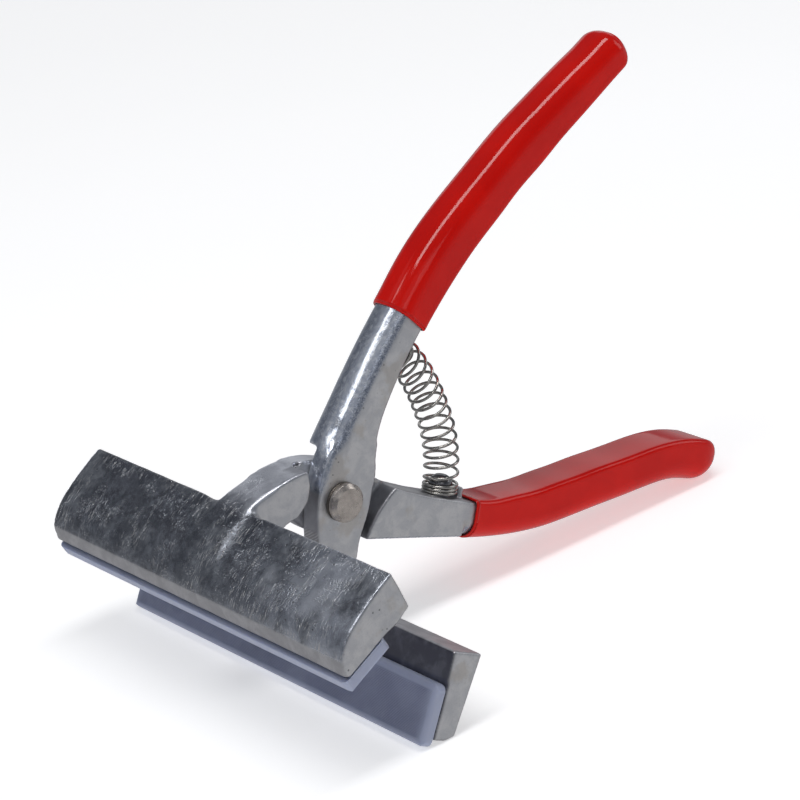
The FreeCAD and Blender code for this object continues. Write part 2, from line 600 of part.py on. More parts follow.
os.makedirs("parts", exist_ok=True)
NODES = [LA, LB, RIVET, FRONT_WASHER, BACK_WASHER, SPRING, LOW_STUD, HIGH_STUD, UP_GRIP, LO_GRIP, UP_PAD, LO_PAD, UP_FILM, LO_FILM]
for o in doc.Objects:
    if "Invalid" in o.State or "Error" in o.State:
        raise RuntimeError("%s is %s" % (o.Name, o.State))
for n in NODES:
    s = n.Shape
    if s.isNull() or not s.isValid():
        raise RuntimeError(n.Label + " has a bad shape")
for n in NODES:
    s = n.Shape
    s.exportStep("parts/%s.step" % n.Label)
    bb = s.BoundBox
    print("%-24s solids %d  volume %9.2f  x %.2f..%.2f y %.2f..%.2f z %.2f..%.2f" % (
        n.Label, len(s.Solids), s.Volume, bb.XMin, bb.XMax, bb.YMin, bb.YMax, bb.ZMin, bb.ZMax))
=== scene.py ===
import bpy, math
import numpy as np
from mathutils import Matrix, Vector, noise


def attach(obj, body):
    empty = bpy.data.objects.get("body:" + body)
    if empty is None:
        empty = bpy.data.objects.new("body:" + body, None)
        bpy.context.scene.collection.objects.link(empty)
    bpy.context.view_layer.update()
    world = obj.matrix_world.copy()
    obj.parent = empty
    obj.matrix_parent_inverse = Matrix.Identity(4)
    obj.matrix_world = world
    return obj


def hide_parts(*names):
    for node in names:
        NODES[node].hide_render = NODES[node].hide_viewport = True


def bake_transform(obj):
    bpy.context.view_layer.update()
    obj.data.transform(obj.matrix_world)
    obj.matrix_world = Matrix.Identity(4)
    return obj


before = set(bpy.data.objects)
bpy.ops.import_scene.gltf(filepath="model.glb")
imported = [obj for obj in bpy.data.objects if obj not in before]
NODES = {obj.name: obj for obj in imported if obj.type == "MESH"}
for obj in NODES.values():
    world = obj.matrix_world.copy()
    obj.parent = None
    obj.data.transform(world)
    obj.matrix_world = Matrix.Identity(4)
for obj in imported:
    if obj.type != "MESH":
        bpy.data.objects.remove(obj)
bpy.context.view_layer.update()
rng = np.random.default_rng(20)

# ---------------------------------------------------------------- frames and helpers
TILT = math.radians(19.06)
CA, SA = math.cos(TILT), math.sin(TILT)
PX, PZ = -44.321, 41.4264


def row(p):
    """Pivot-plane millimetres (u, v, w) to row-frame metres; w counts towards the back."""
    p = np.asarray(p, float)
    u, v, w = p[..., 0], p[..., 1], p[..., 2]
    return np.stack([(u * CA + v * SA + PX) / 1000, w / 1000, (-u * SA + v * CA + PZ) / 1000], -1)


def local(co):
    """Row-frame metres to pivot-plane millimetres (u, v, w)."""
    x, y, z = co[:, 0] * 1000 - PX, co[:, 1] * 1000, co[:, 2] * 1000 - PZ
    return np.stack([x * CA - z * SA, x * SA + z * CA, y], -1)


def local_dir(n):
    return np.stack([n[:, 0] * CA - n[:, 2] * SA, n[:, 0] * SA + n[:, 2] * CA, n[:, 1]], -1)


def smooth01(x, lo, hi):
    t = np.clip((x - lo) / (hi - lo), 0, 1)
    return t * t * (3 - 2 * t)


def new_mesh(name, verts, faces, sharp=None, ground=False):
    me = bpy.data.meshes.new(name)
    verts = np.array(verts, float)
    if not ground:
        verts[:, 2] = np.maximum(verts[:, 2], 0.0)
    me.from_pydata([tuple(v) for v in verts], [], [tuple(int(i) for i in f) for f in faces])
    me.validate()
    me.polygons.foreach_set("use_smooth", [True] * len(me.polygons))
    if sharp is not None:
        me.set_sharp_from_angle(angle=math.radians(sharp))
    me.update()
    ob = bpy.data.objects.new(name, me)
    bpy.context.scene.collection.objects.link(ob)
    return ob


def put(ob, mat, body, slot, *nodes):
    ob.data.materials.clear()
    ob.data.materials.append(mat)
    if body:
        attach(ob, body)
    if nodes:
        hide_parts(*nodes)
    return ob


def tube_faces(n_rings, n_around, closed_ring=True):
    f = []
    for i in range(n_rings - 1):
        for j in range(n_around if closed_ring else n_around - 1):
            k = (j + 1) % n_around
            a, b = i * n_around, (i + 1) * n_around
            f.append((a + j, a + k, b + k, b + j))
    return f


def spline(pts):
    """Natural cubic through pts by chord length: returns f(array of shares of the length) -> points."""
    P = np.asarray(pts, float)
    d = np.r_[0, np.cumsum(np.hypot(*np.diff(P, axis=0).T))]
    n = len(P)
    h = np.diff(d)
    A = np.zeros((n, n)); B = np.zeros((n, 2))
    A[0, 0] = A[-1, -1] = 1
    for i in range(1, n - 1):
        A[i, i - 1], A[i, i], A[i, i + 1] = h[i - 1], 2 * (h[i - 1] + h[i]), h[i]
        B[i] = 6 * ((P[i + 1] - P[i]) / h[i] - (P[i] - P[i - 1]) / h[i - 1])
    M = np.linalg.solve(A, B)

    def at(s):
        s = np.clip(np.asarray(s, float), 0, d[-1])
        i = np.clip(np.searchsorted(d, s, side="right") - 1, 0, n - 2)
        t = s - d[i]
        hi = h[i][:, None]; t = t[:, None]
        return (M[i] * (hi - t) ** 3 + M[i + 1] * t ** 3) / (6 * hi) + (P[i] / hi - M[i] * hi / 6) * (hi - t) + (P[i + 1] / hi - M[i + 1] * hi / 6) * t
    fine = at(np.linspace(0, d[-1], 4001))
    cum = np.r_[0, np.cumsum(np.hypot(*np.diff(fine, axis=0).T))]

    def share(k):
        return at(np.interp(np.asarray(k, float) * cum[-1], cum, np.linspace(0, d[-1], 4001)))

    def nearest(p):
        q = np.hypot(*(fine - np.asarray(p)).T)
        return float(cum[int(q.argmin())] / cum[-1])
    return share, nearest


def corner_round(points, radii, n=5):
    """Open polyline with its inner corners rounded."""
    out = [np.array(points[0], float)]
    for i in range(1, len(points) - 1):
        a, b, c = (np.array(points[k], float) for k in (i - 1, i, i + 1))
        r = radii[i]
        if r <= 0:
            out.append(b)
            continue
        u, v = a - b, c - b
        lu, lv = np.linalg.norm(u), np.linalg.norm(v)
        u, v = u / lu, v / lv
        half = math.acos(max(-1, min(1, float(u @ v)))) / 2
        t = min(r / math.tan(half), 0.48 * lu, 0.48 * lv)
        p, q = b + u * t, b + v * t
        for k in range(n + 1):
            s = k / n
            out.append((1 - s) ** 2 * p + 2 * s * (1 - s) * b + s ** 2 * q)
    out.append(np.array(points[-1], float))
    return np.array(out)


def lathe(name, profile, origin, axis, side, n=96, sharp=50):
    """profile: (radius, height) along axis from origin; all in local mm vectors (u, v, w)."""
    axis = np.array(axis, float) / np.linalg.norm(axis)
    e1 = np.array(side, float); e1 -= axis * (e1 @ axis); e1 /= np.linalg.norm(e1)
    e2 = np.cross(axis, e1)
    prof = [p for p in profile]
    verts, rings = [], []
    for r, h in prof:
        if r < 1e-6:
            rings.append([len(verts)])
            verts.append(np.array(origin) + axis * h)
        else:
            idx = []
            for k in range(n):
                a = 2 * math.pi * k / n
                idx.append(len(verts))
                verts.append(np.array(origin) + axis * h + r * (math.cos(a) * e1 + math.sin(a) * e2))
            rings.append(idx)
    faces = []
    for A, B in zip(rings, rings[1:]):
        if len(A) == 1 and len(B) == 1:
            continue
        for k in range(n):
            m = (k + 1) % n
            if len(A) == 1:
                faces.append((A[0], B[m], B[k]))
            elif len(B) == 1:
                faces.append((A[k], A[m], B[0]))
            else:
                faces.append((A[k], A[m], B[m], B[k]))
    if len(rings[0]) > 1 and len(rings[-1]) > 1 and np.allclose(prof[0], prof[-1]):
        pass
    ob = new_mesh(name, row(np.array(verts)), faces, sharp)
    fix_normals(ob)
    return ob


def fix_normals(ob):
    import bmesh
    bm = bmesh.new()
    bm.from_mesh(ob.data)
    bmesh.ops.remove_doubles(bm, verts=bm.verts, dist=1e-7)
    bmesh.ops.recalc_face_normals(bm, faces=bm.faces)
    bm.to_mesh(ob.data)
    bm.free()
    ob.data.update()


# ---------------------------------------------------------------- node material kit
class Mat:
    def __init__(self, name):
        self.m = bpy.data.materials.new(name)
        self.m.use_nodes = True
        self.t = self.m.node_tree
        self.b = next(n for n in self.t.nodes if n.type == "BSDF_PRINCIPLED")
        self.tc = self.t.nodes.new("ShaderNodeTexCoord")

    def node(self, kind, **kw):
        n = self.t.nodes.new(kind)
        for k, v in kw.items():
            setattr(n, k, v)
        return n

    def link(self, a, b):
        self.t.links.new(a, b)

    def set(self, **kw):
        for k, v in kw.items():
            s = self.b.inputs[k.replace("_", " ")]
            if hasattr(v, "is_output"):
                self.link(v, s)
            else:
                s.default_value = v

    def coords(self, scale=(1, 1, 1), rot=(0, 0, 0), loc=(0, 0, 0)):
        m = self.node("ShaderNodeMapping")
        m.inputs["Scale"].default_value = scale
        m.inputs["Rotation"].default_value = rot
        m.inputs["Location"].default_value = loc
        self.link(self.tc.outputs["Object"], m.inputs["Vector"])
        return m.outputs["Vector"]

    def noise(self, scale, detail=4.0, rough=0.55, vec=None, distort=0.0):
        n = self.node("ShaderNodeTexNoise")
        n.inputs["Scale"].default_value = scale
        n.inputs["Detail"].default_value = detail
        n.inputs["Roughness"].default_value = rough
        n.inputs["Distortion"].default_value = distort
        self.link(vec if vec is not None else self.tc.outputs["Object"], n.inputs["Vector"])
        return n.outputs["Fac"]

    def voronoi(self, scale, vec=None, out="Distance", randomness=1.0):
        n = self.node("ShaderNodeTexVoronoi")
        n.inputs["Scale"].default_value = scale
        n.inputs["Randomness"].default_value = randomness
        self.link(vec if vec is not None else self.tc.outputs["Object"], n.inputs["Vector"])
        return n.outputs[out]

    def ramp(self, fac, lo, hi, a=0.0, b=1.0):
        n = self.node("ShaderNodeMapRange", clamp=True, interpolation_type="SMOOTHSTEP")
        n.inputs["From Min"].default_value = lo
        n.inputs["From Max"].default_value = hi
        n.inputs["To Min"].default_value = a
        n.inputs["To Max"].default_value = b
        self.link(fac, n.inputs["Value"])
        return n.outputs["Result"]

    def math(self, op, a, b=None):
        n = self.node("ShaderNodeMath", operation=op)
        for i, v in enumerate((a, b)):
            if v is None:
                continue
            if hasattr(v, "is_output"):
                self.link(v, n.inputs[i])
            else:
                n.inputs[i].default_value = v
        return n.outputs[0]

    def mix(self, fac, a, b):
        n = self.node("ShaderNodeMix", data_type="RGBA", clamp_factor=True)
        for s, v in ((n.inputs[0], fac), (n.inputs[6], a), (n.inputs[7], b)):
            if hasattr(v, "is_output"):
                self.link(v, s)
            elif isinstance(v, (int, float)):
                s.default_value = v
            else:
                s.default_value = (*v, 1.0)
        return n.outputs[2]

    def lerp(self, fac, a, b):
        n = self.node("ShaderNodeMix", data_type="FLOAT", clamp_factor=True)
        for s, v in ((n.inputs[0], fac), (n.inputs[2], a), (n.inputs[3], b)):
            if hasattr(v, "is_output"):
                self.link(v, s)
            else:
                s.default_value = v
        return n.outputs[0]

    def attr(self, name):
        n = self.node("ShaderNodeAttribute", attribute_name=name)
        return n.outputs["Fac"]

    def bump(self, height, distance, strength=1.0, normal=None):
        n = self.node("ShaderNodeBump")
        n.inputs["Distance"].default_value = distance
        n.inputs["Strength"].default_value = strength
        self.link(height, n.inputs["Height"])
        if normal is not None:
            self.link(normal, n.inputs["Normal"])
        return n.outputs["Normal"]


def cast_metal(name, shift):
    """Die-cast alloy: satin ground flats, burnished deep-grey bar backs with grinding marks and pale
    oxide blotches, polished pitted round backs; painted shade makes the inner faces, the hub recess wall and the notch
    near-black, and painted sheen lightens the arm's top and the bar backs' front ends."""
    M = Mat(name)
    at = M.coords(loc=shift)
    flat, top, rnd, painted_shade, strip, arm, mill = (M.attr("z_" + k) for k in ("flat", "top", "round", "painted_shade", "strip", "arm", "mill"))
    big = M.noise(70, 4, 0.6, at)
    blot = M.noise(210, 5, 0.62, at, 0.4)
    grain = M.noise(2600, 3, 0.7, at)
    mid = M.noise(750, 4, 0.65, at)
    # grinding marks: short lines round the bar's back, in patches
    gv = M.coords(scale=(340, 3600, 340), rot=(0.0, 0.0, 0.12), loc=shift)
    lines = M.noise(1.0, 2, 0.6, gv)
    patch = M.noise(95, 3, 0.6, at)
    scr = M.math("MULTIPLY", M.ramp(lines, 0.57, 0.66), M.ramp(patch, 0.44, 0.60))
    gv2 = M.coords(scale=(120, 5200, 120), rot=(0.25, 0.0, 0.1), loc=shift)
    fine = M.noise(1.0, 2, 0.5, gv2)
    # pits and bright nicks
    pv = M.voronoi(900, at)
    pc = M.voronoi(900, at, "Color")
    sep = M.node("ShaderNodeSeparateColor")
    M.link(pc, sep.inputs[0])
    pit = M.math("MULTIPLY", M.ramp(pv, 0.34, 0.16), M.ramp(sep.outputs[0], 0.60, 0.66))
    pit_few = M.math("MULTIPLY", M.ramp(pv, 0.34, 0.16), M.ramp(sep.outputs[1], 0.955, 0.97))
    speck_v = M.voronoi(1500, at)
    specks = M.math("MULTIPLY", M.ramp(speck_v, 0.42, 0.22), M.ramp(M.noise(150, 3, 0.6, at), 0.50, 0.62))

    # colours
    c_flat = M.mix(M.ramp(blot, 0.38, 0.66), (0.70, 0.71, 0.735), (0.84, 0.84, 0.85))
    c_flat = M.mix(M.math("MULTIPLY", M.ramp(big, 0.56, 0.66), 0.55), c_flat, (0.64, 0.60, 0.55))
    c_flat = M.mix(M.math("MULTIPLY", M.ramp(grain, 0.55, 0.75), 0.35), c_flat, (0.52, 0.52, 0.54))
    c_flat = M.mix(M.math("MULTIPLY", pit_few, 0.55), c_flat, (0.06, 0.06, 0.065))
    c_top = M.mix(M.ramp(M.lerp(0.45, blot, mid), 0.38, 0.66), (0.17, 0.18, 0.205), (0.36, 0.38, 0.42))
    c_top = M.mix(M.math("MULTIPLY", M.ramp(big, 0.54, 0.68), 0.25), c_top, (0.42, 0.44, 0.48))
    # painted sheen: the bar backs are coloured lighter towards their front ends, where light falls on them
    sy = M.node("ShaderNodeSeparateXYZ")
    M.link(M.tc.outputs["Object"], sy.inputs[0])
    near = M.math("MULTIPLY", M.ramp(sy.outputs["Y"], -0.005, -0.048), M.ramp(M.noise(120, 4, 0.6, at), 0.30, 0.58))
    c_top = M.mix(M.math("MULTIPLY", near, 0.8), c_top, (0.66, 0.69, 0.76))
    c_top = M.mix(M.math("MULTIPLY", scr, 0.75), c_top, (0.92, 0.90, 0.87))
    c_top = M.mix(M.math("MULTIPLY", specks, 0.55), c_top, (0.70, 0.71, 0.74))
    c_top = M.mix(M.math("MULTIPLY", pit_few, 0.7), c_top, (0.03, 0.03, 0.035))
    # painted sheen: the arm's upward-facing top is coloured lighter, standing in for its highlight
    c_arm_painted_sheen = M.mix(M.ramp(blot, 0.35, 0.70), (0.66, 0.68, 0.74), (0.84, 0.86, 0.92))
    c_rnd = M.mix(M.ramp(mid, 0.42, 0.62), (0.60, 0.645, 0.74), (0.80, 0.83, 0.89))
    c_rnd = M.mix(M.math("MULTIPLY", M.attr("z_mottle"), M.ramp(grain, 0.42, 0.60)), c_rnd, (0.34, 0.38, 0.47))
    c_strip = M.mix(M.ramp(blot, 0.38, 0.68), (0.50, 0.50, 0.52), (0.62, 0.62, 0.64))
    # painted shade: near-black grey for the inner jaw faces, the recess wall round the hub and the notch, standing in
    # for their shadow
    c_painted_shade = M.mix(M.ramp(blot, 0.38, 0.70), (0.150, 0.150, 0.174), (0.245, 0.248, 0.280))
    col = M.mix(flat, c_strip, c_flat)
    col = M.mix(rnd, col, c_rnd)
    col = M.mix(top, col, c_top)
    col = M.mix(arm, col, c_arm_painted_sheen)
    col = M.mix(painted_shade, col, c_painted_shade)
    wear = M.attr("wear")
    col = M.mix(M.math("MULTIPLY", wear, 0.6), col, (0.78, 0.78, 0.80))
    # milling marks on the neck
    wv = M.node("ShaderNodeTexWave", wave_type="BANDS", bands_direction="Z", wave_profile="SAW")
    wv.inputs["Scale"].default_value = 480
    wv.inputs["Distortion"].default_value = 1.2
    wv.inputs["Detail"].default_value = 2
    M.link(M.coords(rot=(0.55, 0.2, 0.0)), wv.inputs["Vector"])
    col = M.mix(M.math("MULTIPLY", M.math("MULTIPLY", M.ramp(wv.outputs["Fac"], 0.25, 0.8), mill), 0.6), col, (0.20, 0.20, 0.215))
    # roughness
    r_flat = M.ramp(grain, 0.3, 0.7, 0.36, 0.52)
    r_top = M.lerp(M.ramp(big, 0.48, 0.66), 0.24, 0.46)
    r_top = M.lerp(scr, r_top, 0.20)
    r_rnd = M.lerp(M.attr("z_mottle"), M.ramp(mid, 0.35, 0.65, 0.17, 0.25), M.ramp(mid, 0.35, 0.65, 0.20, 0.36))
    r = M.lerp(rnd, r_flat, r_rnd)
    r = M.lerp(top, r, r_top)
    r = M.lerp(arm, r, M.ramp(blot, 0.3, 0.7, 0.28, 0.42))
    r = M.lerp(painted_shade, r, M.ramp(blot, 0.3, 0.7, 0.40, 0.55))
    r = M.lerp(wear, r, 0.22)
    # relief
    h_flat = M.math("ADD", M.math("MULTIPLY", grain, 0.5), M.math("MULTIPLY", mid, 0.5))
    n1 = M.bump(h_flat, 0.00003, 0.8)
    h_top = M.math("ADD", M.math("MULTIPLY", scr, -0.9), M.math("MULTIPLY", fine, 0.5))
    h_top = M.math("ADD", h_top, M.math("MULTIPLY", mid, 0.8))
    h_top = M.math("SUBTRACT", h_top, M.math("MULTIPLY", specks, 0.9))
    h_top = M.math("ADD", h_top, M.math("MULTIPLY", grain, 0.5))
    n2 = M.bump(M.math("MULTIPLY", h_top, top), 0.00008, 0.9, n1)
    h_rnd = M.math("SUBTRACT", M.math("MULTIPLY", M.noise(1100, 3, 0.6, at), 0.7), pit)
    n3 = M.bump(M.math("MULTIPLY", h_rnd, M.math("MULTIPLY", rnd, M.attr("z_mottle"))), 0.00007, 0.8, n2)
    n4 = M.bump(M.math("MULTIPLY", pit_few, -1.0), 0.00012, 0.8, n3)
    n5 = M.bump(M.math("MULTIPLY", wv.outputs["Fac"], mill), 0.00022, 0.9, n4)
    M.set(Base_Color=col, Roughness=r, Metallic=0.92, Normal=n5)
    M.b.inputs["Specular IOR Level"].default_value = 0.5
    return M.m


def red_vinyl(name, shift):
    M = Mat(name)
    at = M.coords(loc=shift)
    c = M.mix(M.ramp(M.noise(60, 3, 0.5, at), 0.35, 0.65), (0.60, 0.0035, 0.0006), (0.67, 0.0048, 0.0009))
    c = M.mix(M.math("MULTIPLY", M.ramp(M.noise(1500, 2, 0.5, at), 0.66, 0.76), 0.35), c, (0.48, 0.005, 0.002))
    # painted shade: the lip turning into the open end is coloured near-black as the shadow inside it
    rim_painted_shade = M.attr("rim_painted_shade")
    c = M.mix(M.math("MULTIPLY", rim_painted_shade, 0.85), c, (0.10, 0.002, 0.002))
    M.set(Base_Color=c, Roughness=M.ramp(M.noise(240, 4, 0.6, at), 0.3, 0.7, 0.07, 0.12))
    v = M.voronoi(190, at)
    vc = M.node("ShaderNodeSeparateColor")
    M.link(M.voronoi(190, at, "Color"), vc.inputs[0])
    bead = M.math("MULTIPLY", M.ramp(v, 0.075, 0.02), M.ramp(vc.outputs[2], 0.955, 0.965))
    n = M.bump(M.noise(95, 2, 0.45, at), 0.00008, 0.5)
    n = M.bump(M.noise(900, 2, 0.5, at), 0.000010, 0.6, n)
    n = M.bump(bead, 0.00018, 1.0, n)
    M.set(Normal=n)
    M.b.inputs["IOR"].default_value = 1.50
    M.b.inputs["Specular IOR Level"].default_value = 0.38
    return M.m


def pad_vinyl(name, shift):
    M = Mat(name)
    at = M.coords(loc=shift)
    # painted highlight: rounded edges, front and rear faces and the pad ends are coloured lighter, as light falls on
    # them
    edge_painted_highlight = M.attr("edge_painted_highlight")
    c = M.mix(M.ramp(M.noise(120, 4, 0.6, at), 0.35, 0.68), (0.235, 0.260, 0.375), (0.285, 0.312, 0.435))
    c = M.mix(M.math("MULTIPLY", edge_painted_highlight, 0.85), c, (0.40, 0.435, 0.56))
    # painted shade: the rib grooves are coloured darker as the shade in them
    c = M.mix(M.math("MULTIPLY", M.attr("groove_painted_shade"), 0.40), c, (0.15, 0.168, 0.26))
    M.set(Base_Color=c, Roughness=M.ramp(M.noise(500, 4, 0.6, at), 0.3, 0.7, 0.30, 0.42))
    n = M.bump(M.noise(1400, 3, 0.6, at), 0.00003, 0.6)
    n = M.bump(M.noise(160, 3, 0.5, at), 0.00010, 0.4, n)
    M.set(Normal=n)
    M.b.inputs["IOR"].default_value = 1.5
    M.b.inputs["Subsurface Weight"].default_value = 0.35
    M.b.inputs["Subsurface Radius"].default_value = (0.8, 0.9, 1.2)
    M.b.inputs["Subsurface Scale"].default_value = 0.0015
    return M.m


def nickel(name, shift, tint=(0.64, 0.60, 0.54), rough=(0.16, 0.30), lines=None):
    M = Mat(name)
    at = M.coords(loc=shift)
    dirt = M.ramp(M.noise(420, 4, 0.65, at), 0.40, 0.70)
    c = M.mix(dirt, tint, tuple(x * 0.72 for x in tint))
    c = M.mix(M.math("MULTIPLY", M.ramp(M.noise(1900, 3, 0.6, at), 0.62, 0.74), 0.6), c, tuple(x * 0.40 for x in tint))
    M.set(Base_Color=c, Metallic=1.0, Roughness=M.ramp(M.noise(900, 4, 0.65, at), 0.3, 0.7, rough[0], rough[1]))
    sc = M.noise(1.0, 2, 0.5, M.coords(scale=lines or (1500, 700, 3800), rot=(0.3, 0.5, 0.2), loc=shift))
    n = M.bump(sc, 0.000012, 0.8)
    n = M.bump(M.noise(700, 3, 0.6, at), 0.00002, 0.5, n)
    M.set(Normal=n)
    return M.m


def film_black_gap_shadow(name, shift):
    M = Mat(name)
    at = M.coords(loc=shift)
    # near-black: partly the film's own colour, partly painted shade for the gap line between pad and jaw
    c = M.mix(M.ramp(M.noise(300, 4, 0.6, at), 0.35, 0.7), (0.010, 0.010, 0.012), (0.035, 0.035, 0.038))
    M.set(Base_Color=c, Roughness=M.ramp(M.noise(800, 3, 0.6, at), 0.3, 0.7, 0.45, 0.7))
    M.set(Normal=M.bump(M.noise(1200, 3, 0.6, at), 0.00005, 0.7))
    return M.m


# ---------------------------------------------------------------- camera
cam_data = bpy.data.cameras.new("camera")
cam = bpy.data.objects.new("camera", cam_data)
bpy.context.scene.collection.objects.link(cam)
right = Vector((0.76119546, -0.63991715, -0.10529728))
up = Vector((0.31804478, 0.22684852, 0.9205364))
back = Vector((-0.5651805, -0.73419738, 0.37619837))
m = Matrix.Identity(4)
for i, v in enumerate((right, up, back)):
    for j in range(3):
        m[j][i] = v[j]
m.translation = Vector((-0.40771741, -0.50660521, 0.31776637))
cam.matrix_world = m
cam_data.lens = 121.80
cam_data.sensor_width = 36.0
cam_data.clip_start = 0.01
cam_data.clip_end = 100
bpy.context.scene.camera = cam

# ---------------------------------------------------------------- cast levers
def voxelled(node, name, size):
    src = NODES[node]
    ob = bpy.data.objects.new(name + "_src", src.data.copy())
    bpy.context.scene.collection.objects.link(ob)
    mod = ob.modifiers.new("remesh", "REMESH")
    mod.mode = "VOXEL"
    mod.voxel_size = size
    mod.use_smooth_shade = True
    dg = bpy.context.evaluated_depsgraph_get()
    me = bpy.data.meshes.new_from_object(ob.evaluated_get(dg))
    bpy.data.objects.remove(ob)
    me.name = name
    out = bpy.data.objects.new(name, me)
    bpy.context.scene.collection.objects.link(out)
    return out


def mesh_arrays(me):
    co = np.empty(len(me.vertices) * 3); me.vertices.foreach_get("co", co)
    ed = np.empty(len(me.edges) * 2, np.int64); me.edges.foreach_get("vertices", ed)
    return co.reshape(-1, 3), ed.reshape(-1, 2)


def vertex_normals(me, co):
    me.vertices.foreach_set("co", co.astype(np.float32).ravel())
    me.update()
    n = np.empty(len(me.vertices) * 3, np.float32)
    me.vertex_normals.foreach_get("vector", n)
    return n.reshape(-1, 3).astype(float)


def relax(co, ed, iters, lam, weight=None, me=None, outward=False):
    n = len(co)
    deg = np.bincount(ed.ravel(), minlength=n).astype(float)[:, None]
    a, b = ed[:, 0], ed[:, 1]
    w = np.ones((n, 1)) if weight is None else weight[:, None]
    nor = None
    for k in range(iters):
        s = np.empty_like(co)
        for c in range(3):
            s[:, c] = np.bincount(a, co[b, c], n) + np.bincount(b, co[a, c], n)
        d = (s / deg - co) * lam * w
        if outward:
            if k % 15 == 0:
                nor = vertex_normals(me, co)
            h = (d * nor).sum(1, keepdims=True)
            d = d - nor * h + nor * np.maximum(h, 0) if False else nor * np.maximum(h, 0)
        co = co + d
    return co


def set_attr(me, name, val):
    at = me.attributes.new(name, "FLOAT", "POINT")
    at.data.foreach_set("value", np.asarray(val, np.float32))


def fbm(P, scale, amp_detail=3, off=0.0):
    out = np.empty(len(P))
    for i, p in enumerate(P):
        out[i] = noise.fractal((p[0] * scale + off, p[1] * scale + off, p[2] * scale), 1.0, 2.0, amp_detail)
    return out


def curvature_wear(co, ed, nor, lo, hi):
    """Convex edges: how far a point stands out of its neighbours' plane."""
    n = len(co)
    deg = np.bincount(ed.ravel(), minlength=n).astype(float)[:, None]
    s = np.empty_like(co)
    for c in range(3):
        s[:, c] = np.bincount(ed[:, 0], co[ed[:, 1], c], n) + np.bincount(ed[:, 1], co[ed[:, 0], c], n)
    h = -((s / deg - co) * nor).sum(1)
    return smooth01(h, lo, hi)


VOX = 0.00042


